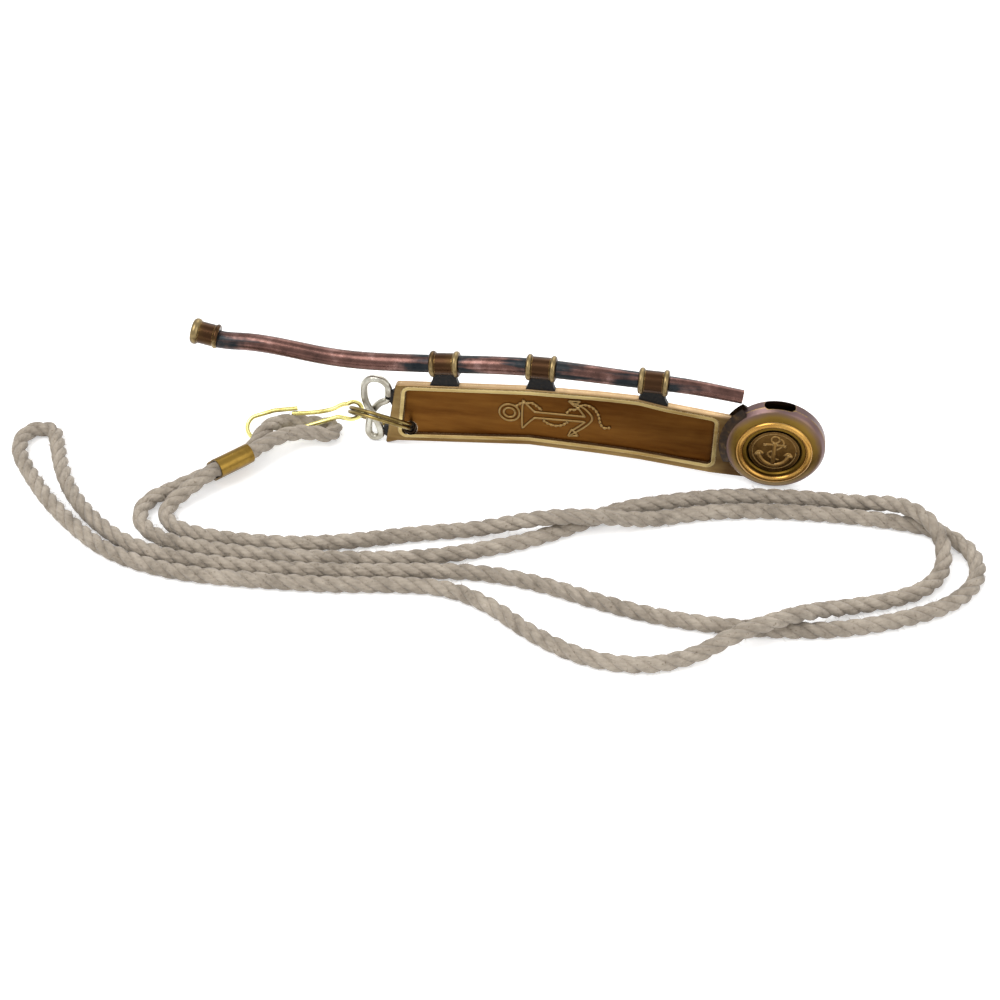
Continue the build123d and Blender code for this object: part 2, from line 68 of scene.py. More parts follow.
# Rays that a material sends out to find corners and edges
CORNER_RAYS = 6
EDGE_RAYS = 4

# Middle of the keel's hole, and of the buoy seen from the front, in millimetres
KEEL_HOLE = (-19.4, 0.0, 4.0)
BUOY_CENTRE = (53.8, 9.8)

# The two rope routes, in metres, as the solids have them
ROPE_LOOP = [
    (-0.0521, -0.01683, 0.00442), (-0.05528, -0.02056, 0.00442), (-0.0586, -0.0246, 0.0032),
    (-0.062, -0.029, 0.0016), (-0.0608, -0.0336, 0.0016), (-0.0546, -0.036, 0.0016),
    (-0.044, -0.0363, 0.0016), (-0.033, -0.0353, 0.0016), (-0.022, -0.0322, 0.0016),
    (-0.011, -0.0282, 0.0016), (-0.0005, -0.0254, 0.0016), (0.01, -0.0242, 0.005), (0.02, -0.0218, 0.005),
    (0.031, -0.0176, 0.0016), (0.041, -0.0133, 0.0016), (0.052, -0.0109, 0.0016), (0.063, -0.0099, 0.0016),
    (0.074, -0.0096, 0.0016), (0.085, -0.0102, 0.0016), (0.0928, -0.0152, 0.0016), (0.094, -0.0235, 0.0016),
    (0.0885, -0.0315, 0.0016), (0.0785, -0.0373, 0.0016), (0.0675, -0.0416, 0.0016),
    (0.0565, -0.0433, 0.0016), (0.045, -0.0439, 0.0016), (0.0345, -0.0433, 0.0016),
    (0.0245, -0.0414, 0.0016), (0.0145, -0.0386, 0.0016), (0.004, -0.0372, 0.0016),
    (-0.0065, -0.0381, 0.0016), (-0.017, -0.0402, 0.0016), (-0.027, -0.0417, 0.0016),
    (-0.037, -0.0428, 0.0016), (-0.047, -0.0432, 0.0016), (-0.057, -0.043, 0.0016),
    (-0.067, -0.0405, 0.0016), (-0.0755, -0.0348, 0.0016), (-0.082, -0.0282, 0.0016),
    (-0.0866, -0.0212, 0.0016), (-0.0898, -0.0146, 0.0016), (-0.0924, -0.0094, 0.0016),
    (-0.0978, -0.0108, 0.0016), (-0.0976, -0.0172, 0.0016), (-0.092, -0.0242, 0.0016),
    (-0.0856, -0.0312, 0.0016), (-0.0778, -0.0378, 0.0016), (-0.069, -0.0436, 0.0016),
    (-0.058, -0.0465, 0.0016), (-0.047, -0.0468, 0.0016), (-0.036, -0.0461, 0.0016),
    (-0.025, -0.0452, 0.0016), (-0.014, -0.0432, 0.0016), (-0.004, -0.0422, 0.0016),
    (0.005, -0.0454, 0.0016), (0.0135, -0.0516, 0.0016), (0.024, -0.0562, 0.0016), (0.035, -0.0562, 0.0016),
    (0.0435, -0.052, 0.0016), (0.0505, -0.048, 0.005), (0.0615, -0.0412, 0.005), (0.0695, -0.0352, 0.0016),
    (0.0775, -0.032, 0.0016), (0.084, -0.028, 0.0016), (0.0878, -0.021, 0.0016), (0.086, -0.0138, 0.005),
    (0.0795, -0.008, 0.005), (0.071, -0.0054, 0.0016), (0.061, -0.0056, 0.0016), (0.051, -0.0066, 0.0016),
    (0.042, -0.0086, 0.0016), (0.0335, -0.0116, 0.0016), (0.0252, -0.015, 0.0016),
    (0.0176, -0.0212, 0.0016), (0.01, -0.0266, 0.0016), (0.001, -0.031, 0.0016), (-0.008, -0.0346, 0.0016),
    (-0.018, -0.037, 0.0016), (-0.029, -0.0385, 0.0016), (-0.04, -0.0395, 0.0016),
    (-0.051, -0.0396, 0.0016), (-0.061, -0.0384, 0.0016), (-0.0666, -0.0336, 0.0016),
    (-0.0664, -0.0278, 0.0016), (-0.0618, -0.0232, 0.0016), (-0.05706, -0.01905, 0.00208),
    (-0.05388, -0.01532, 0.00208),
]
ROPE_EYE = [
    (-0.05107, -0.01562, 0.00442), (-0.04854, -0.01265, 0.00442), (-0.0456, -0.008, 0.0043),
    (-0.0422, -0.0049, 0.0037), (-0.0386, -0.00375, 0.0032), (-0.0352, -0.0034, 0.0024),
    (-0.0352, 0.0012, 0.0016), (-0.0395, 0.001, 0.0017), (-0.0444, 0.0005, 0.00215),
    (-0.04738, -0.00254, 0.0036), (-0.04876, -0.00583, 0.00405), (-0.05032, -0.01114, 0.00208),
    (-0.05285, -0.0141, 0.00208),
]


class Lay(Enum):
    """Way that a rope's strands turn, as the sign of their angle along the rope."""

    RIGHT_HAND = 1
    LEFT_HAND = -1


# Node and mesh helpers
def linear(code: str) -> tuple[float, float, float, float]:
    """Turns an sRGB hex colour into Blender's linear colour.

    Args:
        code: six hex digits after a hash.

    Returns:
        Red, green, blue and an alpha of 1.
    """
    # The numbers are those of the sRGB standard's curve
    parts = [int(code[i:i + 2], 16) / 255 for i in (1, 3, 5)]
    return (*(c / 12.92 if c <= 0.04045 else ((c + 0.055) / 1.055) ** 2.4 for c in parts), 1.0)


def put(tree: Tree, kind: str, feeds: dict | None = None, stops: Sequence[tuple[float, str]] = (),
        **settings: object) -> bpy.types.Node:
    """Adds one node with its settings, values and links.

    Args:
        tree: node tree that takes the node.
        kind: node type without its ShaderNode prefix.
        feeds: socket name or number to a value, or to the output socket linked into it.
        stops: (place, sRGB hex) pairs in order, for a colour ramp.
        settings: attributes of the node.

    Returns:
        The new node.
    """
    node = tree.nodes.new("ShaderNode" + kind)
    for name, value in settings.items():
        setattr(node, name, value)
    for key, source in (feeds or {}).items():
        if isinstance(source, bpy.types.NodeSocket):
            tree.links.new(source, node.inputs[key])
        else:
            node.inputs[key].default_value = source
    if stops:
        elements = node.color_ramp.elements
        while len(elements) < len(stops):
            elements.new(1.0)
        for element, (place, code) in zip(elements, stops):
            element.position = place
            element.color = linear(code)
    return node


def mesh_piece(name: str, points: Sequence[Vector], faces: Sequence[Sequence[int]],
               uvs: Sequence[tuple] | None = None) -> Piece:
    """Makes a smooth-shaded mesh object from points and faces in metres.

    Args:
        name: piece name.
        points: vertices.
        faces: vertex numbers of each face.
        uvs: one (u, v) pair for each vertex, or None.

    Returns:
        The object, linked to the scene.
    """
    mesh = bpy.data.meshes.new(name)
    mesh.from_pydata([tuple(p) for p in points], [], [tuple(f) for f in faces])
    if uvs is not None:
        layer = mesh.uv_layers.new(name="along")
        for corner in mesh.loops:
            layer.data[corner.index].uv = uvs[corner.vertex_index]
    mesh.polygons.foreach_set("use_smooth", [True] * len(mesh.polygons))
    made = bpy.data.objects.new(name, mesh)
    bpy.context.scene.collection.objects.link(made)
    return made


def read_spline(points: Sequence[tuple], resolution: int = 14) -> list[Vector]:
    """Reads a smooth centreline from a NURBS spline through a route's control points.

    Args:
        points: control points in metres.
        resolution: points read for each control point.

    Returns:
        Points along the spline.
    """
    curve = bpy.data.curves.new("route", "CURVE")
    curve.dimensions = "3D"
    curve.resolution_u = resolution
    spline = curve.splines.new("NURBS")
    spline.points.add(len(points) - 1)
    for knot, place in zip(spline.points, points):
        knot.co = (*place, 1.0)
    spline.order_u = 3
    spline.use_endpoint_u = True
    carrier = bpy.data.objects.new("route", curve)
    bpy.context.scene.collection.objects.link(carrier)
    bpy.context.view_layer.update()
    read = bpy.data.meshes.new_from_object(carrier)
    line = [v.co.copy() for v in read.vertices]
    bpy.data.objects.remove(carrier)
    bpy.data.curves.remove(curve)
    bpy.data.meshes.remove(read)
    return line


def even_points(line: Sequence[Vector], step: float) -> list[Vector]:
    """Places points a fixed step apart along a line.

    Args:
        line: points of the line.
        step: distance between the new points, in metres.

    Returns:
        The new points, both ends included.
    """
    reach = [0.0]
    for a, b in zip(line, line[1:]):
        reach.append(reach[-1] + (b - a).length)
    count = max(2, round(reach[-1] / step))
    made, k = [], 0
    for i in range(count + 1):
        target = reach[-1] * i / count
        while k < len(line) - 2 and reach[k + 1] < target:
            k += 1
        share = (target - reach[k]) / max(TINY, reach[k + 1] - reach[k])
        made.append(line[k].lerp(line[k + 1], min(1.0, max(0.0, share))))
    return made


def carried_frames(line: Sequence[Vector], up: Vector) -> list[tuple[Vector, Vector]]:
    """Carries a pair of directions square to a line along it without twist.

    Args:
        line: points of the line.
        up: direction that the first pair starts from.

    Returns:
        Two unit vectors for each point, both square to the line.
    """
    made = []
    side = up
    for i in range(len(line)):
        along = (line[min(i + 1, len(line) - 1)] - line[max(i - 1, 0)]).normalized()
        side = (side - along * side.dot(along)).normalized()
        made.append((side, along.cross(side)))
    return made


def around(count: int, radius: float = 1.0, closed: bool = False) -> list[tuple[float, float]]:
    """Divides a circle round the origin.

    Args:
        count: number of divisions.
        radius: the circle's radius.
        closed: True to repeat the first point at the end.

    Returns:
        Two coordinates for each point, from the first axis towards the second.
    """
    turns = [2 * math.pi * i / count for i in range(count + int(closed))]
    return [(radius * math.cos(turn), radius * math.sin(turn)) for turn in turns]


def tube(line: Sequence[Vector], radii: Sequence[float], sides: int, up: Vector, flat: float = 1.0) -> Mesh:
    """Builds a closed tube along a line.

    Args:
        line: points of the tube's centre.
        radii: tube radius at each point.
        sides: corners of its section.
        up: direction that the section starts from, kept upright along the tube.
        flat: height of the section along that direction, as a share of its width.

    Returns:
        Vertices, faces and (length, turn) coordinates in millimetres and turns.
    """
    points, faces, uvs = [], [], []
    section = around(sides)
    reach = 0.0
    for i, ((side, across), radius) in enumerate(zip(carried_frames(line, up), radii)):
        reach += (line[i] - line[i - 1]).length if i else 0.0
        for k, (high, wide) in enumerate(section):
            points.append(line[i] + side * (radius * flat * high) + across * (radius * wide))
            uvs.append((reach / MM, k / sides))
    for i in range(len(line) - 1):
        for k in range(sides):
            a, b = i * sides + k, i * sides + (k + 1) % sides
            faces.append((a, b, b + sides, a + sides))
    last = (len(line) - 1) * sides
    faces.append(tuple(reversed(range(sides))))
    faces.append(tuple(range(last, last + sides)))
    return points, faces, uvs


def joined(parts: Sequence[Mesh]) -> Mesh:
    """Joins meshes into one.

    Args:
        parts: vertices, faces and coordinates of each mesh.

    Returns:
        The same three lists for all of them.
    """
    points, faces, uvs = [], [], []
    for more_points, more_faces, more_uvs in parts:
        shift = len(points)
        points += more_points
        uvs += more_uvs
        faces += [tuple(n + shift for n in face) for face in more_faces]
    return points, faces, uvs


# Finishes
@dataclass(frozen=True)
class Finish:
    """A surface finish; each kind has its own shade method.

    Fields ending in _mm are real sizes. A pair holds the values where a change starts and where it is full.
    """

    name: str

    def material(self) -> bpy.types.Material:
        """Makes the material, or finds it where it is made already.

        Returns:
            The material.
        """
        made = bpy.data.materials.get(self.name)
        if made:
            return made
        made = bpy.data.materials.new(self.name)
        made.use_nodes = True
        made.node_tree.nodes.clear()
        surface = self.shade(made.node_tree)
        put(made.node_tree, "OutputMaterial", {"Surface": surface})
        return made

    def shade(self, tree: Tree) -> Socket:
        """Builds the shader, each kind of finish in its own way.

        Args:
            tree: the material's node tree.

        Returns:
            The shader's surface.
        """
        raise NotImplementedError

    def millimetres(self, tree: Tree, stretch: tuple = (1.0, 1.0, 1.0)) -> Socket:
        """Gives the place on the object in millimetres.

        Args:
            tree: node tree that takes the nodes.
            stretch: factor for each axis; a small one draws a pattern out along it.

        Returns:
            The place.
        """
        place = put(tree, "TexCoord").outputs["Object"]
        scale = tuple(share / MM for share in stretch)
        return put(tree, "VectorMath", {0: place, 1: scale}, operation="MULTIPLY").outputs["Vector"]

    def from_axis(self, tree: Tree, centre_mm: tuple, square: tuple) -> Socket:
        """Gives the distance from an axis of the object.

        Args:
            tree: node tree that takes the nodes.
            centre_mm: one point of the axis.
            square: 1 for the directions square to the axis, and 0 for its own.

        Returns:
            The distance in millimetres.
        """
        place = self.millimetres(tree)
        away = put(tree, "VectorMath", {0: place, 1: centre_mm}, operation="SUBTRACT").outputs["Vector"]
        flat = put(tree, "VectorMath", {0: away, 1: square}, operation="MULTIPLY").outputs["Vector"]
        return put(tree, "VectorMath", {0: flat}, operation="LENGTH").outputs["Value"]

    def edges(self, tree: Tree, width_mm: float, turn: tuple) -> Socket:
        """Finds the edges, where a rounded normal parts from the true one.

        Args:
            tree: node tree that takes the nodes.
            width_mm: how far from an edge the rounding reaches.
            turn: cosine between the two normals, as a pair.

        Returns:
            0 on open faces to 1 on edges.
        """
        rounded = put(tree, "Bevel", {"Radius": width_mm * MM}, samples=EDGE_RAYS).outputs["Normal"]
        true = put(tree, "NewGeometry").outputs["Normal"]
        same = put(tree, "VectorMath", {0: rounded, 1: true}, operation="DOT_PRODUCT").outputs["Value"]
        return put(tree, "MapRange", {"Value": same, "From Min": turn[0], "From Max": turn[1]}).outputs[0]

    def dress(self, *targets: str | Piece) -> None:
        """Gives the finish to whatever is named.

        Args:
            targets: CAD nodes by name, or pieces.
        """
        for target in targets:
            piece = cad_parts[target] if isinstance(target, str) else target
            piece.data.materials.clear()
            piece.data.materials.append(self.material())


@dataclass(frozen=True)
class AntiquedBrass(Finish):
    """Brass darkened by an acid dip, then rubbed back on its high places.

    Brown grime stays in corners, and edges that a hand rubs show yellow metal.
    """

    grime_and_shade: str = "#2e1c0c"
    body: str = "#7d5a25"
    body_far: str = "#94743a"
    rubbed: str = "#b39153"
    blotch_mm: float = 5.0
    blotch_break: float = 0.62
    blotch_span: tuple = (0.32, 0.68)
    speck_mm: float = 0.35
    speck_span: tuple = (0.30, 0.62)
    edge_mm: float = 0.28
    edge_turn: tuple = (0.995, 0.86)
    corner_mm: float = 1.1
    corner_light: tuple = (0.92, 0.35)
    corner_most: float = 0.85
    rough: tuple = (0.24, 0.42)
    rough_span: tuple = (0.3, 0.7)
    pits: float = 0.10
    pit_mm: float = 0.05

    def tint(self, tree: Tree, cloud: Socket) -> Socket:
        """Colours the metal before grime and wear.

        Args:
            tree: node tree that takes the nodes.
            cloud: blotch pattern from 0 to 1.

        Returns:
            The colour.
        """
        stops = tuple(zip(self.blotch_span, (self.body, self.body_far)))
        return put(tree, "ValToRGB", {"Fac": cloud}, stops).outputs["Color"]

    def shade(self, tree: Tree) -> Socket:
        """Lays grime in the corners and rubbed metal on the edges over the tinted body.

        Args:
            tree: the material's node tree.

        Returns:
            The shader's surface.
        """
        place = self.millimetres(tree)
        cloud = put(tree, "TexNoise", {"Vector": place, "Scale": 1 / self.blotch_mm, "Detail": CLOUDY,
                                       "Roughness": self.blotch_break}).outputs["Fac"]
        speck = put(tree, "TexNoise", {"Vector": place, "Scale": 1 / self.speck_mm,
                                       "Detail": GRAINY}).outputs["Fac"]
        sky = put(tree, "AmbientOcclusion", {"Distance": self.corner_mm * MM},
                  samples=CORNER_RAYS).outputs["AO"]
        shut = put(tree, "MapRange", {"Value": sky, "From Min": self.corner_light[0],
                                      "From Max": self.corner_light[1],
                                      "To Max": self.corner_most}).outputs[0]
        broken = put(tree, "MapRange", {"Value": speck, "From Min": self.speck_span[0],
                                        "From Max": self.speck_span[1]}).outputs[0]
        edge = self.edges(tree, self.edge_mm, self.edge_turn)
        wear = put(tree, "Math", {0: edge, 1: broken}, operation="MULTIPLY").outputs[0]
        wear = put(tree, "Math", {0: wear, 1: sky}, operation="MULTIPLY").outputs[0]
        grimy = put(tree, "Mix", {"Factor": shut, "A": self.tint(tree, cloud), "B": linear(self.grime_and_shade)},
                    data_type="RGBA").outputs["Result"]
        worn = put(tree, "Mix", {"Factor": wear, "A": grimy, "B": linear(self.rubbed)},
                   data_type="RGBA").outputs["Result"]
        rough = put(tree, "MapRange", {"Value": cloud, "From Min": self.rough_span[0],
                                       "From Max": self.rough_span[1], "To Min": self.rough[0],
                                       "To Max": self.rough[1]}).outputs[0]
        dent = put(tree, "Bump", {"Strength": self.pits, "Distance": self.pit_mm * MM,
                                  "Height": speck}).outputs["Normal"]
        return put(tree, "BsdfPrincipled", {"Base Color": worn, "Metallic": 1.0, "Roughness": rough,
                                            "Normal": dent}).outputs["BSDF"]


@dataclass(frozen=True)
class PressedKeelBrass(AntiquedBrass):
    """Antiqued sheet brass pressed into a panel: brown floor, tan border and a rubbed bead.

    The dip pools on the sunk floor, polishing leaves faint streaks along the keel, a pinkish painted
    highlight lies on the upward faces of the top edge, and the soldering fire browns the end that goes under
    the buoy.
    """

    depth_mm: tuple = (0.4, 1.12)
    uneven_mm: float = 0.12
    by_depth: tuple = ((0.0, "#6d461b"), (0.22, "#744e20"), (0.68, "#7d643a"), (0.80, "#917a50"),
                       (0.97, "#cbb87f"))
    streak: str = "#b39c80"
    streak_span: tuple = (0.30, 0.62)
    streak_stretch: tuple = (0.07, 1.0, 0.5)
    streak_mm: float = 1.818
    # Painted highlight on the top edge: its pinkish tan, the upward aim that brings it in, and how far in it
    # reaches
    top_highlight: str = "#bb9e77"
    top_highlight_aim: tuple = (0.55, 0.9)
    top_highlight_inside_mm: tuple = (0.95, 0.8)
    stain: str = "#3a2210"
    stain_mm: tuple = (41.0, 45.5)
    stain_uneven_mm: float = 5.0
    most: float = 0.8

    def tint(self, tree: Tree, cloud: Socket) -> Socket:
        """Colours the metal by the depth of the pressing, then adds streaks, a painted highlight on the top
        edge, and stain.

        Args:
            tree: node tree that takes the nodes.
            cloud: blotch pattern from 0 to 1.

        Returns:
            The colour.
        """
        place = put(tree, "SeparateXYZ", {0: self.millimetres(tree)}).outputs
        height = put(tree, "Math", {0: place["Y"]}, operation="ABSOLUTE").outputs[0]
        wavy = put(tree, "Math", {0: cloud, 1: self.uneven_mm, 2: height},
                   operation="MULTIPLY_ADD").outputs[0]
        level = put(tree, "MapRange", {"Value": wavy, "From Min": self.depth_mm[0],
                                       "From Max": self.depth_mm[1]}).outputs[0]
        pressed = put(tree, "ValToRGB", {"Fac": level}, self.by_depth).outputs["Color"]
        drawn = self.millimetres(tree, self.streak_stretch)
        polish = put(tree, "TexNoise", {"Vector": drawn, "Scale": 1 / self.streak_mm, "Detail": CLOUDY,
                                        "Roughness": BREAK_UP}).outputs["Fac"]
        stops = tuple(zip(self.streak_span, (self.streak, "#ffffff")))
        shade = put(tree, "ValToRGB", {"Fac": polish}, stops).outputs["Color"]
        metal = put(tree, "Mix", {"Factor": 1.0, "A": pressed, "B": shade}, data_type="RGBA",
                    blend_type="MULTIPLY").outputs["Result"]
        # Painted highlight: faces of the top edge that look up are lightened to a pinkish tan
        aim = put(tree, "SeparateXYZ", {0: put(tree, "NewGeometry").outputs["Normal"]}).outputs["Z"]
        top = put(tree, "MapRange", {"Value": aim, "From Min": self.top_highlight_aim[0],
                                     "From Max": self.top_highlight_aim[1], "To Max": self.most}).outputs[0]
        inner = put(tree, "MapRange", {"Value": height, "From Min": self.top_highlight_inside_mm[0],
                                       "From Max": self.top_highlight_inside_mm[1]}).outputs[0]
        both = put(tree, "Math", {0: top, 1: inner}, operation="MULTIPLY").outputs[0]
        highlighted = put(tree, "Mix", {"Factor": both, "A": metal, "B": linear(self.top_highlight)},
                      data_type="RGBA").outputs["Result"]
        spread = put(tree, "Math", {0: cloud, 1: self.stain_uneven_mm, 2: place["X"]},
                     operation="MULTIPLY_ADD").outputs[0]
        start, end = (mark + self.stain_uneven_mm / 2 for mark in self.stain_mm)
        heat = put(tree, "MapRange", {"Value": spread, "From Min": start, "From Max": end,
                                      "To Max": self.most}).outputs[0]
        return put(tree, "Mix", {"Factor": heat, "A": highlighted, "B": linear(self.stain)},
                   data_type="RGBA").outputs["Result"]


@dataclass(frozen=True)
class SpunBuoyBrass(AntiquedBrass):
    """Spun brass with an olive face, going to a purple brown on the rim where no hand rubs it."""

    change_mm: tuple = (8.0, 10.5)
    uneven_mm: float = 1.6
    tones: tuple = ((0.0, "#6c531d"), (0.42, "#79602d"), (0.85, "#6c5755"))

    def tint(self, tree: Tree, cloud: Socket) -> Socket:
        """Colours the metal by the distance from the buoy's centre.

        Args:
            tree: node tree that takes the nodes.
            cloud: blotch pattern from 0 to 1.

        Returns:
            The colour.
        """
        reach = self.from_axis(tree, (BUOY_CENTRE[0], 0.0, BUOY_CENTRE[1]), (1.0, 0.0, 1.0))
        wavy = put(tree, "Math", {0: cloud, 1: self.uneven_mm, 2: reach},
                   operation="MULTIPLY_ADD").outputs[0]
        level = put(tree, "MapRange", {"Value": wavy, "From Min": self.change_mm[0],
                                       "From Max": self.change_mm[1]}).outputs[0]
        return put(tree, "ValToRGB", {"Fac": level}, self.tones).outputs["Color"]


@dataclass(frozen=True)
class TurnedCollarBrass(AntiquedBrass):
    """Turned brass bead with yellow rims and a brown waist where the dip stayed."""

    centre_mm: tuple = (0.0, 0.0, 0.0)
    change_mm: tuple = (2.2, 2.6)
    tones: tuple = ((0.0, "#402c1d"), (0.35, "#4d3922"), (1.0, "#867451"))

    def tint(self, tree: Tree, cloud: Socket) -> Socket:
        """Colours the metal by the distance from the gun's axis.

        Args:
            tree: node tree that takes the nodes.
            cloud: blotch pattern; not used, as the clean turning doesn't show it.

        Returns:
            The colour.
        """
        reach = self.from_axis(tree, self.centre_mm, (0.0, 1.0, 1.0))
        level = put(tree, "MapRange", {"Value": reach, "From Min": self.change_mm[0],
                                       "From Max": self.change_mm[1]}).outputs[0]
        return put(tree, "ValToRGB", {"Fac": level}, self.tones).outputs["Color"]


@dataclass(frozen=True)
class HeatTintedCopper(Finish):
    """Drawn copper tube, left with the blue-grey scale of the torch near each soldered fitting.

    Between the fittings the tube is rubbed to a pinkish brown, with fine lines along it.
    """

    fittings: tuple = ()
    copper: tuple = ((0.30, "#4c3833"), (0.52, "#674b44"), (0.72, "#8c6e68"))
    scale: tuple = ((0.30, "#22272b"), (0.55, "#303335"), (0.75, "#453a38"))
    worn: str = "#bb8d7b"
    blotch_mm: float = 3.57
    blotch_shift_mm: float = 9.0
    streak_mm: float = 1.25
    streak_stretch: tuple = (0.06, 1.0, 1.0)
    streak_shift_mm: float = 30.0
    clean_mm: tuple = (20.0, 25.0)
    edge_mm: float = 0.2
    edge_turn: tuple = (0.98, 0.85)
    line_mm: float = 0.12
    line_stretch: tuple = (0.04, 1.0, 1.0)
    line_depth_mm: float = 0.04
    line_bump: float = 0.05
    rough: tuple = (0.42, 0.27)

    def fitting_gap(self, tree: Tree) -> Socket:
        """Measures along the tube to the nearest fitting.

        Args:
            tree: node tree that takes the nodes.

        Returns:
            The distance in millimetres, below 0 under a fitting.
        """
        along = put(tree, "SeparateXYZ", {0: self.millimetres(tree)}).outputs["X"]
        nearest = None
        for centre, half in self.fittings:
            off = put(tree, "Math", {0: along, 1: centre}, operation="SUBTRACT").outputs[0]
            gap = put(tree, "Math", {0: off}, operation="ABSOLUTE").outputs[0]
            gap = put(tree, "Math", {0: gap, 1: half}, operation="SUBTRACT").outputs[0]
            if nearest is not None:
                gap = put(tree, "Math", {0: nearest, 1: gap}, operation="MINIMUM").outputs[0]
            nearest = gap
        return nearest

    def shade(self, tree: Tree) -> Socket:
        """Mixes rubbed copper with scale by the distance to the nearest fitting.

        Args:
            tree: the material's node tree.

        Returns:
            The shader's surface.
        """
        cloud = put(tree, "TexNoise", {"Vector": self.millimetres(tree), "Scale": 1 / self.blotch_mm,
                                       "Detail": CLOUDY, "Roughness": BREAK_UP}).outputs["Fac"]
        streak = put(tree, "TexNoise", {"Vector": self.millimetres(tree, self.streak_stretch),
                                        "Scale": 1 / self.streak_mm, "Detail": GRAINY}).outputs["Fac"]
        ragged = put(tree, "Math", {0: cloud, 1: self.blotch_shift_mm, 2: self.fitting_gap(tree)},
                     operation="MULTIPLY_ADD").outputs[0]
        ragged = put(tree, "Math", {0: streak, 1: self.streak_shift_mm, 2: ragged},
                     operation="MULTIPLY_ADD").outputs[0]
        clean = put(tree, "MapRange", {"Value": ragged, "From Min": self.clean_mm[0],
                                       "From Max": self.clean_mm[1]}).outputs[0]
        copper = put(tree, "ValToRGB", {"Fac": cloud}, self.copper).outputs["Color"]
        scale = put(tree, "ValToRGB", {"Fac": cloud}, self.scale).outputs["Color"]
        skin = put(tree, "Mix", {"Factor": clean, "A": scale, "B": copper},
                   data_type="RGBA").outputs["Result"]
        edge = self.edges(tree, self.edge_mm, self.edge_turn)
        colour = put(tree, "Mix", {"Factor": edge, "A": skin, "B": linear(self.worn)},
                     data_type="RGBA").outputs["Result"]
        rough = put(tree, "MapRange", {"Value": clean, "To Min": self.rough[0],
                                       "To Max": self.rough[1]}).outputs[0]
        lines = put(tree, "TexNoise", {"Vector": self.millimetres(tree, self.line_stretch),
                                       "Scale": 1 / self.line_mm, "Detail": EVEN}).outputs["Fac"]
        drawn = put(tree, "Bump", {"Strength": self.line_bump, "Distance": self.line_depth_mm * MM,
                                   "Height": lines}).outputs["Normal"]
        return put(tree, "BsdfPrincipled", {"Base Color": colour, "Metallic": 1.0, "Roughness": rough,
                                            "Normal": drawn}).outputs["BSDF"]


@dataclass(frozen=True)
class DrawnWire(Finish):
    """Drawn metal wire, with faint tarnish in patches and handling scratches.

    Round one place, where it runs into shade, a matt dark colour covers the shine: painted shade.
    """

    metal: str = "#e0c060"
    tarnish: str = "#8f7430"
    corner: str = "#2a2013"
    # Dark colour of the painted shade near one place
    grime_and_shade: str = "#1d140c"
    patch_mm: float = 3.0
    patch_span: tuple = (0.40, 0.74)
    corner_mm: float = 0.8
    corner_light: tuple = (0.85, 0.3)
    corner_most: float = 0.7
    scratch_mm: float = 0.16
    scratch_depth_mm: float = 0.03
    scratch_bump: float = 0.03
    rough: tuple = (0.14, 0.34)
    rough_span: tuple = (0.35, 0.7)
    # Place, reach and roughness of the painted shade
    painted_shade_at: tuple = (0.0, 0.0, 0.0)
    painted_shade_mm: tuple = ()
    painted_shade_rough: float = 0.95

    def shade(self, tree: Tree) -> Socket:
        """Mixes clean metal with tarnish, and with painted shade near one place if there is any.

        Args:
            tree: the material's node tree.

        Returns:
            The shader's surface.
        """
        place = self.millimetres(tree)
        patch = put(tree, "TexNoise", {"Vector": place, "Scale": 1 / self.patch_mm, "Detail": LUMPY,
                                       "Roughness": BREAK_UP}).outputs["Fac"]
        stops = tuple(zip(self.patch_span, (self.metal, self.tarnish)))
        colour = put(tree, "ValToRGB", {"Fac": patch}, stops).outputs["Color"]
        sky = put(tree, "AmbientOcclusion", {"Distance": self.corner_mm * MM},
                  samples=CORNER_RAYS).outputs["AO"]
        shut = put(tree, "MapRange", {"Value": sky, "From Min": self.corner_light[0],
                                      "From Max": self.corner_light[1],
                                      "To Max": self.corner_most}).outputs[0]
        dark = put(tree, "Mix", {"Factor": shut, "A": colour, "B": linear(self.corner)},
                   data_type="RGBA").outputs["Result"]
        fine = put(tree, "TexNoise", {"Vector": place, "Scale": 1 / self.scratch_mm,
                                      "Detail": EVEN}).outputs["Fac"]
        rough = put(tree, "MapRange", {"Value": patch, "From Min": self.rough_span[0],
                                       "From Max": self.rough_span[1], "To Min": self.rough[0],
                                       "To Max": self.rough[1]}).outputs[0]
        marks = put(tree, "Bump", {"Strength": self.scratch_bump, "Distance": self.scratch_depth_mm * MM,
                                   "Height": fine}).outputs["Normal"]
        feeds = {"Base Color": dark, "Metallic": 1.0, "Roughness": rough, "Normal": marks}
        # Painted shade: near the given place the wire turns matt and dark and loses its metal shine
        if self.painted_shade_mm:
            away = put(tree, "VectorMath", {0: place, 1: self.painted_shade_at},
                       operation="DISTANCE").outputs["Value"]
            clear_of_shade = put(tree, "MapRange", {"Value": away, "From Min": self.painted_shade_mm[0],
                                          "From Max": self.painted_shade_mm[1]}).outputs[0]
            feeds["Base Color"] = put(tree, "Mix", {"Factor": clear_of_shade, "A": linear(self.grime_and_shade), "B": dark},
                                      data_type="RGBA").outputs["Result"]
            feeds["Metallic"] = clear_of_shade
            feeds["Roughness"] = put(tree, "Mix", {0: clear_of_shade, 2: self.painted_shade_rough, 3: rough}).outputs[0]
        return put(tree, "BsdfPrincipled", feeds).outputs["BSDF"]


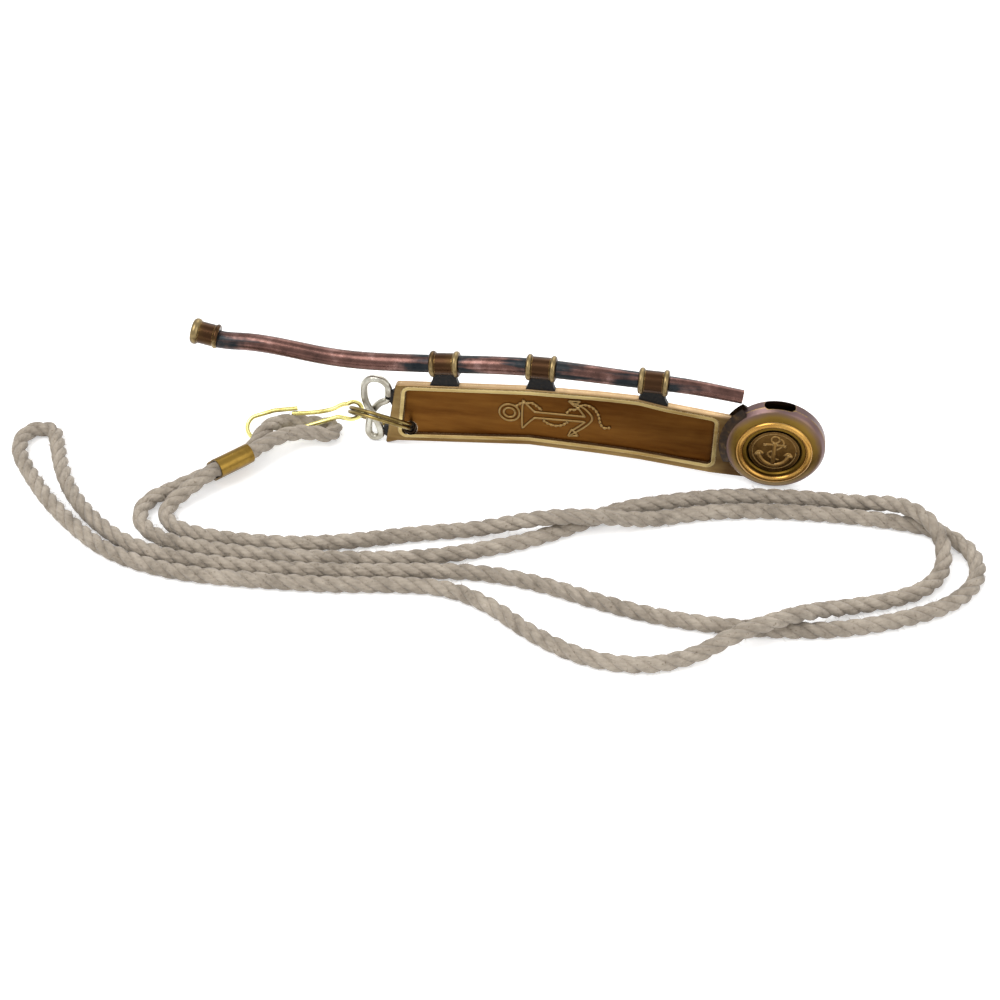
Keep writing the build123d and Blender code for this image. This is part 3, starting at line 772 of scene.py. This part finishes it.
@dataclass(frozen=True)
class ScaledSolder(Finish):
    """Silver solder under fire scale: lumpy, nearly black, with a dull metal gleam."""

    lump_mm: float = 0.6
    lumpy: float = 0.5
    lump_height_mm: float = 0.12
    tones: tuple = ("#08090c", "#151413", "#2e2217")
    tone_places: tuple = (0.3, 0.55, 0.75)
    metallic: float = 0.55
    rough: float = 0.5

    def shade(self, tree: Tree) -> Socket:
        """Mixes dark scale with grey and brown stains over its lumps.

        Args:
            tree: the material's node tree.

        Returns:
            The shader's surface.
        """
        lumps = put(tree, "TexNoise", {"Vector": self.millimetres(tree), "Scale": 1 / self.lump_mm,
                                       "Detail": LUMPY}).outputs["Fac"]
        stops = tuple(zip(self.tone_places, self.tones))
        colour = put(tree, "ValToRGB", {"Fac": lumps}, stops).outputs["Color"]
        skin = put(tree, "Bump", {"Strength": self.lumpy, "Distance": self.lump_height_mm * MM,
                                  "Height": lumps}).outputs["Normal"]
        return put(tree, "BsdfPrincipled", {"Base Color": colour, "Metallic": self.metallic,
                                            "Roughness": self.rough, "Normal": skin}).outputs["BSDF"]


@dataclass(frozen=True)
class SpunCotton(Finish):
    """Unbleached cotton yarn, spun and laid into strands: matt, beige grey, with seed flecks.

    Yarns show as fine ridges that run across each strand against the rope's lay.
    """

    tones: tuple = ("#857b6e", "#a09587", "#b6ab9c")
    tone_places: tuple = (0.30, 0.48, 0.72)
    blotch_mm: float = 4.545
    blotch_break: float = 0.65
    fleck: str = "#5b4c3a"
    fleck_mm: float = 0.55
    fleck_span: tuple = (0.63, 0.72)
    fleck_most: float = 0.55
    yarn_mm: float = 1.344
    yarns_round: float = 5.0
    # Painted shade in the furrows between yarns: where it starts and is full, and its strength
    furrow_shade_span: tuple = (0.35, 0.0)
    furrow_shade_most: float = 0.22
    fuzz_mm: float = 0.14
    fuzz_share: float = 0.7
    ridge: float = 0.55
    ridge_mm: float = 0.09
    rough: float = 0.93
    sheen: tuple = (0.25, 0.5)
    specular: float = 0.2

    def yarns(self, tree: Tree) -> Socket:
        """Runs the yarns across a strand, from its coordinates along and round.

        Args:
            tree: node tree that takes the nodes.

        Returns:
            0 between two yarns to 1 on a yarn's middle.
        """
        strand = put(tree, "SeparateXYZ", {0: put(tree, "TexCoord").outputs["UV"]}).outputs
        slope = put(tree, "Math", {0: strand["X"], 1: 1 / self.yarn_mm}, operation="MULTIPLY").outputs[0]
        turns = put(tree, "Math", {0: strand["Y"], 1: self.yarns_round, 2: slope},
                    operation="MULTIPLY_ADD").outputs[0]
        wave = put(tree, "Math", {0: turns, 1: 2 * math.pi}, operation="MULTIPLY").outputs[0]
        ridge = put(tree, "Math", {0: wave}, operation="SINE").outputs[0]
        return put(tree, "MapRange", {"Value": ridge, "From Min": -1.0, "From Max": 1.0}).outputs[0]

    def shade(self, tree: Tree) -> Socket:
        """Mixes yarn tones, then adds flecks, painted shade in the furrows between yarns, and yarn ridges.

        Args:
            tree: the material's node tree.

        Returns:
            The shader's surface.
        """
        place = self.millimetres(tree)
        cloud = put(tree, "TexNoise", {"Vector": place, "Scale": 1 / self.blotch_mm, "Detail": RAGGED,
                                       "Roughness": self.blotch_break}).outputs["Fac"]
        stops = tuple(zip(self.tone_places, self.tones))
        tone = put(tree, "ValToRGB", {"Fac": cloud}, stops).outputs["Color"]
        seeds = put(tree, "TexNoise", {"Vector": place, "Scale": 1 / self.fleck_mm,
                                       "Detail": EVEN}).outputs["Fac"]
        seed = put(tree, "MapRange", {"Value": seeds, "From Min": self.fleck_span[0],
                                      "From Max": self.fleck_span[1], "To Max": self.fleck_most}).outputs[0]
        seeded = put(tree, "Mix", {"Factor": seed, "A": tone, "B": linear(self.fleck)},
                     data_type="RGBA").outputs["Result"]
        yarn = self.yarns(tree)
        # Painted shade: the furrows between yarns are darkened towards the darkest tone
        furrow_shade = put(tree, "MapRange", {"Value": yarn, "From Min": self.furrow_shade_span[0],
                                        "From Max": self.furrow_shade_span[1],
                                        "To Max": self.furrow_shade_most}).outputs[0]
        shaded = put(tree, "Mix", {"Factor": furrow_shade, "A": seeded, "B": linear(self.tones[0])},
                     data_type="RGBA").outputs["Result"]
        fuzz = put(tree, "TexNoise", {"Vector": place, "Scale": 1 / self.fuzz_mm,
                                      "Detail": GRAINY}).outputs["Fac"]
        height = put(tree, "Math", {0: fuzz, 1: self.fuzz_share, 2: yarn},
                     operation="MULTIPLY_ADD").outputs[0]
        skin = put(tree, "Bump", {"Strength": self.ridge, "Distance": self.ridge_mm * MM,
                                  "Height": height}).outputs["Normal"]
        return put(tree, "BsdfPrincipled", {"Base Color": shaded, "Roughness": self.rough,
                                            "Sheen Weight": self.sheen[0], "Sheen Roughness": self.sheen[1],
                                            "Specular IOR Level": self.specular,
                                            "Normal": skin}).outputs["BSDF"]


# Stage
@dataclass
class Studio:
    """Camera, soft light and a pale floor."""

    eye: tuple = (0.044635, -0.267437, 0.223060)
    aim: tuple = (0.001564, -0.014476, 0.0)
    lens_mm: float = 61.93
    sensor_mm: float = 36.0
    nearest: float = 0.01
    dome_height: float = 0.8
    dome_light: tuple = (0.34, 0.80)
    floor_reach: float = 1.6
    floor_tone: str = "#f3f3f3"
    floor_lift: float = 0.42
    lamps: tuple = (
        ("key_softbox", (-0.35, -0.25, 0.65), 0.5, 3.4),
        ("fill_softbox", (0.55, -0.35, 0.40), 0.6, 1.6),
        ("rear_softbox", (0.05, 0.60, 0.50), 0.5, 1.6),
    )

    def place(self, thing: Piece, spot: tuple) -> None:
        """Puts the camera or a lamp in the scene, aimed at the call.

        Args:
            thing: the camera's or the lamp's object.
            spot: where it stands, in metres.
        """
        thing.location = spot
        thing.rotation_euler = (Vector(self.aim) - Vector(spot)).to_track_quat("-Z", "Y").to_euler()
        bpy.context.scene.collection.objects.link(thing)

    def camera(self) -> None:
        """Sets the camera at the photograph's viewing angle."""
        lens = bpy.data.cameras.new("studio_camera")
        lens.lens = self.lens_mm
        lens.sensor_width = self.sensor_mm
        lens.clip_start = self.nearest
        view = bpy.data.objects.new("studio_camera", lens)
        self.place(view, self.eye)
        bpy.context.scene.camera = view

    def lamp(self, name: str, spot: tuple, size: float, watts: float) -> None:
        """Hangs one square soft lamp.

        Args:
            name: lamp name.
            spot: where it hangs, in metres.
            size: its side, in metres.
            watts: its power.
        """
        light = bpy.data.lights.new(name, "AREA")
        light.size = size
        light.energy = watts
        self.place(bpy.data.objects.new(name, light), spot)

    def seen(self, tree: Tree) -> Socket:
        """Finds the rays that show the background: the camera's, and those that gloss or glass sends on.

        Args:
            tree: node tree that takes the nodes.

        Returns:
            1 for those rays, and 0 for the rays that carry light.
        """
        rays = put(tree, "LightPath").outputs
        both = put(tree, "Math", {0: rays["Is Camera Ray"], 1: rays["Is Glossy Ray"]},
                   operation="MAXIMUM").outputs[0]
        return put(tree, "Math", {0: both, 1: rays["Is Transmission Ray"]}, operation="MAXIMUM").outputs[0]

    def world(self) -> None:
        """Makes a white background, and a soft grey to white dome that lights the object."""
        sky = bpy.data.worlds.new("studio_sky")
        bpy.context.scene.world = sky
        sky.use_nodes = True
        tree = sky.node_tree
        tree.nodes.clear()
        up = put(tree, "SeparateXYZ", {0: put(tree, "TexCoord").outputs["Generated"]}).outputs["Z"]
        dome = put(tree, "MapRange", {"Value": up, "From Min": 0.0, "From Max": self.dome_height,
                                      "To Min": self.dome_light[0], "To Max": self.dome_light[1]}).outputs[0]
        strength = put(tree, "Mix", {0: self.seen(tree), 2: dome, 3: 1.0}).outputs[0]
        glow = put(tree, "Background", {"Color": WHITE, "Strength": strength})
        put(tree, "OutputWorld", {"Surface": glow.outputs[0]})

    def floor(self) -> None:
        """Lays a white sweep that still takes the object's shadow."""
        corners = [Vector((x, y, 0.0)) * self.floor_reach for x, y in ((-1, -1), (1, -1), (1, 1), (-1, 1))]
        ground = mesh_piece("studio_floor", corners, [(0, 1, 2, 3)])
        paint = bpy.data.materials.new("white_paper_sweep")
        paint.use_nodes = True
        tree = paint.node_tree
        tree.nodes.clear()
        paper = put(tree, "BsdfDiffuse", {"Color": linear(self.floor_tone)})
        lift = put(tree, "Math", {0: self.seen(tree), 1: self.floor_lift}, operation="MULTIPLY")
        glow = put(tree, "Emission", {"Color": WHITE, "Strength": lift.outputs[0]})
        both = put(tree, "AddShader", {0: paper.outputs[0], 1: glow.outputs[0]})
        put(tree, "OutputMaterial", {"Surface": both.outputs[0]})
        ground.data.materials.append(paint)

    def build(self) -> None:
        """Builds the whole stage."""
        bpy.context.scene.view_settings.view_transform = "Standard"
        self.camera()
        self.world()
        self.floor()
        for lamp in self.lamps:
            self.lamp(*lamp)


# The rope
@dataclass
class LaidRope:
    """Three-strand cotton rope that follows a route."""

    name: str
    route: Sequence[tuple]
    node: str
    length: float
    on_it: tuple
    diameter: float = 3.2 * MM
    strands: int = 3
    strand_share: float = 0.53
    pitch: float = 9.5 * MM
    step: float = 0.42 * MM
    sides: int = 12
    lay: Lay = Lay.RIGHT_HAND
    hairs_per_mm: float = 9.0
    hair_width: float = 0.045 * MM
    hair_taper: float = 0.6
    hair_root: float = 0.46
    hair_round: float = 2.3
    hair_along: tuple = (0.3, 1.0)
    hair_aside: float = 0.8
    hair_reach_mm: tuple = (0.5, 1.5)
    hair_lift_mm: tuple = (0.15, 0.62)
    hair_bend: float = 1.5
    hair_runs: int = 2
    hair_uv: float = 0.1
    bare_ends: int = 2
    seed: int = 11

    def strand_meshes(self, line: Sequence[Vector]) -> list[Mesh]:
        """Winds each strand round the rope's centreline.

        Args:
            line: even points of the centreline.

        Returns:
            One tube mesh for each strand.
        """
        radius = self.diameter / 2
        thick = radius * self.strand_share
        orbit = radius - thick
        pairs = carried_frames(line, UP)
        made = []
        for number in range(self.strands):
            path = []
            for i, (side, across) in enumerate(pairs):
                laid = self.lay.value * i * self.step / self.pitch
                turn = 2 * math.pi * (laid + number / self.strands)
                path.append(line[i] + side * (orbit * math.cos(turn)) + across * (orbit * math.sin(turn)))
            made.append(tube(path, [thick] * len(path), self.sides, UP))
        return made

    def fibre_mesh(self, line: Sequence[Vector]) -> Mesh:
        """Stands loose fibres on the rope, as narrow bent ribbons.

        Args:
            line: even points of the centreline.

        Returns:
            One mesh of all the fibres.
        """
        rng = random.Random(self.seed)
        pairs = carried_frames(line, UP)
        count = int(len(line) * self.step / MM * self.hairs_per_mm)
        points, faces, uvs = [], [], []
        for _ in range(count):
            i = rng.randrange(self.bare_ends, len(line) - self.bare_ends)
            turn = rng.uniform(-self.hair_round, self.hair_round)
            side, across = pairs[i]
            out = side * math.cos(turn) + across * math.sin(turn)
            along = (line[i + 1] - line[i]).normalized() * rng.choice((-1, 1))
            ahead = along * rng.uniform(*self.hair_along)
            slant = (ahead + out.cross(along) * rng.uniform(-self.hair_aside, self.hair_aside)).normalized()
            reach = rng.uniform(*self.hair_reach_mm) * MM
            lift = rng.uniform(*self.hair_lift_mm) * MM
            root = line[i] + out * (self.diameter * self.hair_root)
            wide = out.cross(slant).normalized() * self.hair_width
            start = len(points)
            for k in range(self.hair_runs + 1):
                share = k / self.hair_runs
                centre = root + slant * (reach * share) + out * (lift * share ** self.hair_bend)
                width = wide * (1 - self.hair_taper * share)
                points += [centre - width, centre + width]
                uvs += [(i * self.step / MM, across_it) for across_it in (0.0, self.hair_uv)]
            for k in range(self.hair_runs):
                a = start + 2 * k
                faces.append((a, a + 1, a + 3, a + 2))
        return points, faces, uvs

    def build(self) -> Piece:
        """Returns:
            The rope.
        """
        line = even_points(read_spline(self.route), self.step)
        piece = mesh_piece(self.name, *joined(self.strand_meshes(line) + [self.fibre_mesh(line)]))
        SpunCotton("spun_cotton_rope").dress(piece)
        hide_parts(self.node)
        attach(piece, "lanyard")
        return piece


# The call
@dataclass
class Gun:
    """Bent copper tube with its mouth ring and collars."""

    collars: tuple = ("collar_1", "collar_2", "collar_3")
    feet: tuple = ("solder_foot_1", "solder_foot_2", "solder_foot_3")

    def build(self) -> None:
        """Dresses the tube, collars, mouth ring and solder feet."""
        fittings = []
        for node in self.collars + ("mouth_ring",):
            low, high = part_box(node)
            middle = (low + high) / 2 / MM
            fittings.append((middle.x, (high.x - low.x) / 2 / MM))
            TurnedCollarBrass(f"turned_brass_{node}", centre_mm=tuple(middle)).dress(node)
        HeatTintedCopper("heat_tinted_copper_tube", fittings=tuple(fittings)).dress("gun_tube")
        ScaledSolder("fire_scaled_solder").dress(*self.feet)


@dataclass
class Keel:
    """Pressed keel with a fouled anchor in fine raised lines on its front panel.

    Lines are (x, z) points in millimetres on the panel's floor. An oval of the painted shade in the hole is
    its shift, height and width, and the shade's depths count from the keel's middle, all in millimetres.
    """

    drill: tuple = (0.170, -0.755, 0.634)
    ring_out: tuple = (-0.966, 0.0, 0.259)
    # Ovals and depths of the two dark sheets of painted shade in the hole
    shade_rim: tuple = ((0.0, 1.39, 1.39), (0.2, 1.12, 0.8))
    shade_rim_depth: tuple = (-0.38, -0.30)
    plug: tuple = ((0.2, 1.15, 1.0), (0.7, 0.05, 0.05))
    plug_depth: tuple = (0.0, 0.3)
    facets: int = 40
    floor: float = 0.4 * MM
    line: float = 0.235 * MM
    line_sides: int = 8
    proud: float = 1.2
    straight_step: float = 0.2 * MM
    curve_points: int = 8
    bead_step: float = 0.1 * MM
    bead_swell: tuple = (1.15, 0.35)
    bead_steps: int = 9
    ring_centre: tuple = (1.1, 11.15)
    ring_radii: tuple = (2.05, 1.15)
    stock: tuple = ((3.85, 14.6), (3.5, 11.2), (3.75, 7.4))
    stays: tuple = (((3.85, 14.5), (5.0, 13.0), (6.2, 11.9)), ((3.8, 7.5), (4.9, 9.2), (6.2, 10.4)))
    shank: tuple = (((6.1, 11.9), (16.2, 12.0)), ((6.1, 10.4), (16.2, 10.7)))
    arms: tuple = (
        ((13.4, 15.2), (15.4, 14.6), (17.0, 13.2), (18.0, 11.6), (16.6, 9.7), (14.8, 8.1), (13.4, 7.0)),
        ((14.2, 14.6), (15.4, 13.3), (16.3, 11.9)), ((16.3, 10.7), (15.2, 9.5), (13.9, 8.3)),
    )
    palms: tuple = (
        ((12.9, 15.5), (15.2, 15.7), (14.1, 14.4), (12.9, 15.5)),
        ((13.0, 6.7), (15.0, 7.0), (13.7, 8.5), (13.0, 6.7)),
    )
    cable: tuple = (
        ((2.4, 12.8), (3.4, 14.0), (4.6, 13.9), (5.6, 14.2), (6.7, 13.4), (7.6, 12.5)),
        ((7.9, 10.1), (8.8, 9.3), (10.4, 8.9), (12.0, 9.3), (12.9, 10.3)),
        ((12.6, 12.4), (13.1, 13.6), (14.4, 13.4), (15.6, 15.0), (17.0, 14.9), (18.3, 14.0), (19.0, 12.6),
         (19.3, 10.6), (20.2, 9.4), (21.4, 10.0)),
    )

    def on_panel(self, points: Sequence[tuple]) -> list[Vector]:
        """Puts (x, z) points in millimetres on the panel's floor, in metres."""
        return [Vector((x * MM, -self.floor, z * MM)) for x, z in points]

    def ridge(self, points: Sequence[tuple], smooth: bool = True) -> Mesh:
        """Raises a thin round line from the panel.

        Args:
            points: (x, z) points of the line, in millimetres.
            smooth: True for a curve near the points, False for straight runs.

        Returns:
            The line's mesh.
        """
        spots = self.on_panel(points)
        if smooth and len(spots) > 2:
            line = read_spline(spots, self.curve_points)
        else:
            line = even_points(spots, self.straight_step)
        return tube(line, [self.line] * len(line), self.line_sides, FRONT, self.proud)

    def hoop(self, radius: float) -> Mesh:
        """Raises one circle of the anchor's ring.

        Args:
            radius: its radius in millimetres.

        Returns:
            The circle's mesh.
        """
        across, up = self.ring_centre
        return self.ridge([(across + x, up + z) for x, z in around(self.facets, radius, closed=True)])

    def twist(self, points: Sequence[tuple]) -> Mesh:
        """Raises a length of cable, beaded by its strands.

        Args:
            points: (x, z) points of the cable, in millimetres.

        Returns:
            The cable's mesh.
        """
        line = even_points(read_spline(self.on_panel(points)), self.bead_step)
        mean, swell = self.bead_swell
        waves = [math.sin(2 * math.pi * i / self.bead_steps) for i in range(len(line))]
        radii = [self.line * (mean + swell * wave) for wave in waves]
        return tube(line, radii, self.line_sides, FRONT, self.proud)

    def anchor(self) -> Piece:
        """Builds the fouled anchor as one raised piece.

        Returns:
            The anchor.
        """
        parts = [self.hoop(radius) for radius in self.ring_radii]
        parts += [self.ridge(points) for points in (self.stock, *self.stays, *self.shank, *self.arms)]
        parts += [self.ridge(points, smooth=False) for points in self.palms]
        parts += [self.twist(points) for points in self.cable]
        return mesh_piece("keel_anchor_relief", *joined(parts))

    def hole_shade_sheet(self, name: str, ovals: Sequence[tuple], depths: tuple) -> Piece:
        """Fills part of the drilled hole with a dark sheet of painted shade, between two ovals square to the
        drill.

        Args:
            name: piece name.
            ovals: outer and inner oval.
            depths: depth of its front and of its back.

        Returns:
            The piece.
        """
        centre, drill = Vector(KEEL_HOLE) * MM, Vector(self.drill).normalized()
        side = Vector(self.ring_out).normalized().cross(drill).normalized()
        across = drill.cross(side)
        outer, inner = ovals
        near, far = depths
        points, faces = [], []
        for depth, (off, high, wide) in ((near, outer), (near, inner), (far, inner), (far, outer)):
            for x, y in around(self.facets):
                spot = centre + side * ((off + high * x) * MM) + across * (wide * y * MM)
                points.append(spot + drill * ((depth * MM - spot.y) / drill.y))
        for start in range(0, len(points), self.facets):
            for i in range(self.facets):
                a, b = start + i, start + (i + 1) % self.facets
                faces.append((a, b, (b + self.facets) % len(points), (a + self.facets) % len(points)))
        return mesh_piece(name, points, faces)

    def build(self) -> None:
        """Dresses the plates and adds the anchor and the painted shade in the hole."""
        PressedKeelBrass("pressed_antiqued_keel_brass", rubbed="#d6c29a", rough=(0.36, 0.54),
                         corner_mm=0.8).dress("keel_front_plate", "keel_back_plate")
        relief = self.anchor()
        # Cast brass: its small raised lines are rubbed paler than the panel
        AntiquedBrass("cast_antiqued_anchor_brass", body="#816439", body_far="#977a4b", rubbed="#b59f70",
                      corner_mm=0.3).dress(relief)
        # Dark sheets in the drilled hole are painted shade, which stops the hole showing the white floor
        # through it
        shade_rim = self.hole_shade_sheet("hole_shade_sheet", self.shade_rim, self.shade_rim_depth)
        plug = self.hole_shade_sheet("ring_shade_plug", self.plug, self.plug_depth)
        # Painted shade in the hole: dark brown sheets with a finer lump than solder has
        ScaledSolder("painted_hole_shade", lump_mm=0.3,
                     tones=("#1c130b", "#33220f", "#5a4020")).dress(shade_rim, plug)
        for piece, slot, body in ((relief, "antique_brass", "call"), (shade_rim, "dark_solder", "call"),
                                  (plug, "dark_solder", "ring")):
            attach(piece, body)


@dataclass
class Buoy:
    """Hollow pressed buoy with a bright ring and a struck medallion on each face.

    The emblem is drawn in millimetres from the medallion's middle, to the right and up as it is looked at.
    A hoop is its centre's height, its radius, its line's radius, its facets and the line's flatness. A rod is
    its radius and its points.
    """

    face: float = 2.3 * MM
    hoops: tuple = ((0.0, 4.25, 0.18, 60, 0.8), (2.9, 0.8, 0.27, 24, 0.9))
    hoop_sides: int = 8
    rods: tuple = (
        (0.52, ((0.0, 2.2), (0.02, 0.0), (0.0, -3.0))),
        (0.36, ((-1.9, 1.5), (0.0, 1.75), (1.9, 1.5))),
        (0.5, ((-3.1, -0.5), (-2.5, -2.5), (0.0, -3.7), (2.5, -2.5), (3.1, -0.5))),
    )
    end_rods: tuple = (
        (0.36, ((3.6, -1.3), (3.0, 0.5), (2.1, -0.9))),
        (0.4, ((1.9, 1.75), (2.0, 1.5), (1.9, 1.25))),
    )
    cable: tuple = (0.26, ((1.0, 3.2), (2.0, 2.4), (1.0, 0.6), (-1.4, -0.3), (-0.9, -1.7), (1.2, -2.0)))
    rod_points: int = 6
    rod_sides: int = 10
    rod_flat: float = 0.7

    def on_face(self, x: float, z: float, side: float) -> Vector:
        """Places one point of the emblem.

        Args:
            x: millimetres to the right.
            z: millimetres up.
            side: -1 for the front medallion, 1 for the back one.

        Returns:
            The point in metres.
        """
        across, up = BUOY_CENTRE
        return Vector(((across - side * x) * MM, side * self.face, (up + z) * MM))

    def emblem(self, side: float) -> Piece:
        """Strikes an anchor with its cable and a thin border in low relief.

        Args:
            side: -1 for the front medallion, 1 for the back one.

        Returns:
            The relief.
        """
        up = Vector((0, side, 0))
        parts = []
        for height, radius, thick, facets, flat in self.hoops:
            line = [self.on_face(x, height + z, side) for x, z in around(facets, radius, closed=True)]
            parts.append(tube(line, [thick * MM] * len(line), self.hoop_sides, up, flat))
        ends = []
        for end in (-1, 1):
            ends += [(radius, [(x * end, z) for x, z in points]) for radius, points in self.end_rods]
        for radius, points in (*self.rods, *ends, self.cable):
            line = read_spline([self.on_face(x, z, side) for x, z in points], self.rod_points)
            parts.append(tube(line, [radius * MM] * len(line), self.rod_sides, up, self.rod_flat))
        return mesh_piece("buoy_emblem_" + ("front" if side < 0 else "back"), *joined(parts))

    def build(self) -> None:
        """Dresses the shells and adds the struck reliefs."""
        SpunBuoyBrass("spun_antiqued_buoy_brass", blotch_mm=7.0, rubbed="#997e4c",
                      rough=(0.30, 0.46)).dress("buoy_front_shell", "buoy_back_shell", "buoy_rim_band")
        # The rings stand proud, so polishing keeps them the yellowest and smoothest brass of the call
        AntiquedBrass("rubbed_buoy_ring_brass", body="#a77a39", body_far="#b9904c", rubbed="#bea677",
                      corner_mm=0.4, rough=(0.18, 0.3)).dress("buoy_front_ring", "buoy_back_ring")
        # Struck discs: the sunk ground stays dark brown and the relief is rubbed
        AntiquedBrass("struck_medallion_brass", body="#442d12", body_far="#654b26", rubbed="#8a7049",
                      blotch_mm=2.5, corner_mm=0.35).dress("front_medallion", "back_medallion")
        for side in (-1.0, 1.0):
            relief = self.emblem(side)
            AntiquedBrass("struck_relief_brass", body="#77592b", body_far="#947445", rubbed="#bfa578",
                          blotch_mm=2.5, corner_mm=0.5).dress(relief)
            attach(relief, "call")
        # Brazing that was wiped while hot: smoother and browner than the scaled solder
        ScaledSolder("brown_brazing", lump_mm=1.2, lumpy=0.12,
                     tones=("#190f07", "#301f0d", "#553f1e")).dress("buoy_solder_front", "buoy_solder_back")


@dataclass
class Attachment:
    """End loop, split ring, snap hook and ferrule.

    The gate's line is in millimetres from the hook's eye, along the hook and across it.
    """

    eye: tuple = (-0.031671, 0.001964, 0.005520)
    hook_along: tuple = (-0.913, -0.349, -0.216)
    hook_across: tuple = (-0.387, 0.553, 0.738)
    eye_radius: float = 1.7
    curl_degrees: tuple = (98.0, 90.0, 82.0, 74.0, 66.0)
    gate_line: tuple = ((1.95, 1.85), (4.1, 1.3), (8.7, 1.95), (12.3, 3.0))
    gate_wire: float = 0.45 * MM
    gate_sides: int = 16
    gate_points: int = 10
    gate_step: float = 0.2 * MM
    tip: tuple = (0.93, 0.7)

    def gate(self) -> Piece:
        """Draws the gate's wire on from the hook's eye, where the solids leave a joint's gap.

        Returns:
            The wire.
        """
        turns = [math.radians(degrees) for degrees in self.curl_degrees]
        curl = [(self.eye_radius * math.cos(turn), self.eye_radius * math.sin(turn)) for turn in turns]
        along, across = Vector(self.hook_along) * MM, Vector(self.hook_across) * MM
        spots = [Vector(self.eye) + along * s + across * w for s, w in (*curl, *self.gate_line)]
        line = even_points(read_spline(spots, self.gate_points), self.gate_step)
        shares = [1.0] * (len(line) - len(self.tip)) + list(self.tip)
        radii = [self.gate_wire * share for share in shares]
        piece = mesh_piece("gate_wire", *tube(line, radii, self.gate_sides, UP))
        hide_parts("snap_gate")
        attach(piece, "gate")
        return piece

    def build(self) -> None:
        """Dresses the wires and the ferrule."""
        # Nickel plate: silvery and a little warm, dulled by handling
        DrawnWire("nickel_plated_loop_wire", metal="#c4c2b7", tarnish="#958d7c",
                  rough=(0.24, 0.40)).dress("keel_end_loop")
        ScaledSolder("fire_scaled_solder").dress("loop_solder_upper", "loop_solder_lower")
        # Old brass wire: olive brown, with matt dark painted shade where it runs through the keel's hole
        DrawnWire("tarnished_ring_wire", metal="#93804e", tarnish="#534020", rough=(0.25, 0.42),
                  painted_shade_at=KEEL_HOLE, painted_shade_mm=(1.33, 1.9)).dress("split_ring")
        # New brass wire: pale yellow and bright
        DrawnWire("bright_drawn_brass_wire", metal="#f3e998",
                  tarnish="#bdab5c").dress("snap_hook", self.gate())
        # Crimped sheet: rolled smooth, with wide soft patches of tarnish
        DrawnWire("crimped_sheet_brass", metal="#8a6e32", tarnish="#60491f", patch_mm=4.0,
                  rough=(0.30, 0.46)).dress("lanyard_ferrule")


def main() -> None:
    """Builds the stage and every sub-assembly in order."""
    logging.basicConfig(level=logging.INFO, format="%(message)s")
    Studio().build()
    for rope in (
        LaidRope("rope_loop", ROPE_LOOP, "lanyard_rope", 0.812, ("lanyard_ferrule",)),
        LaidRope("rope_eye", ROPE_EYE, "lanyard_eye", 0.051, ("snap_hook", "snap_gate"), seed=12),
    ):
        made = rope.build()
        LOG.info("%s: %d faces", made.name, len(made.data.polygons))
    for part in (Gun(), Keel(), Buoy(), Attachment()):
        part.build()
        LOG.info("%s dressed", type(part).__name__)


if __name__ == "__main__":
    main()
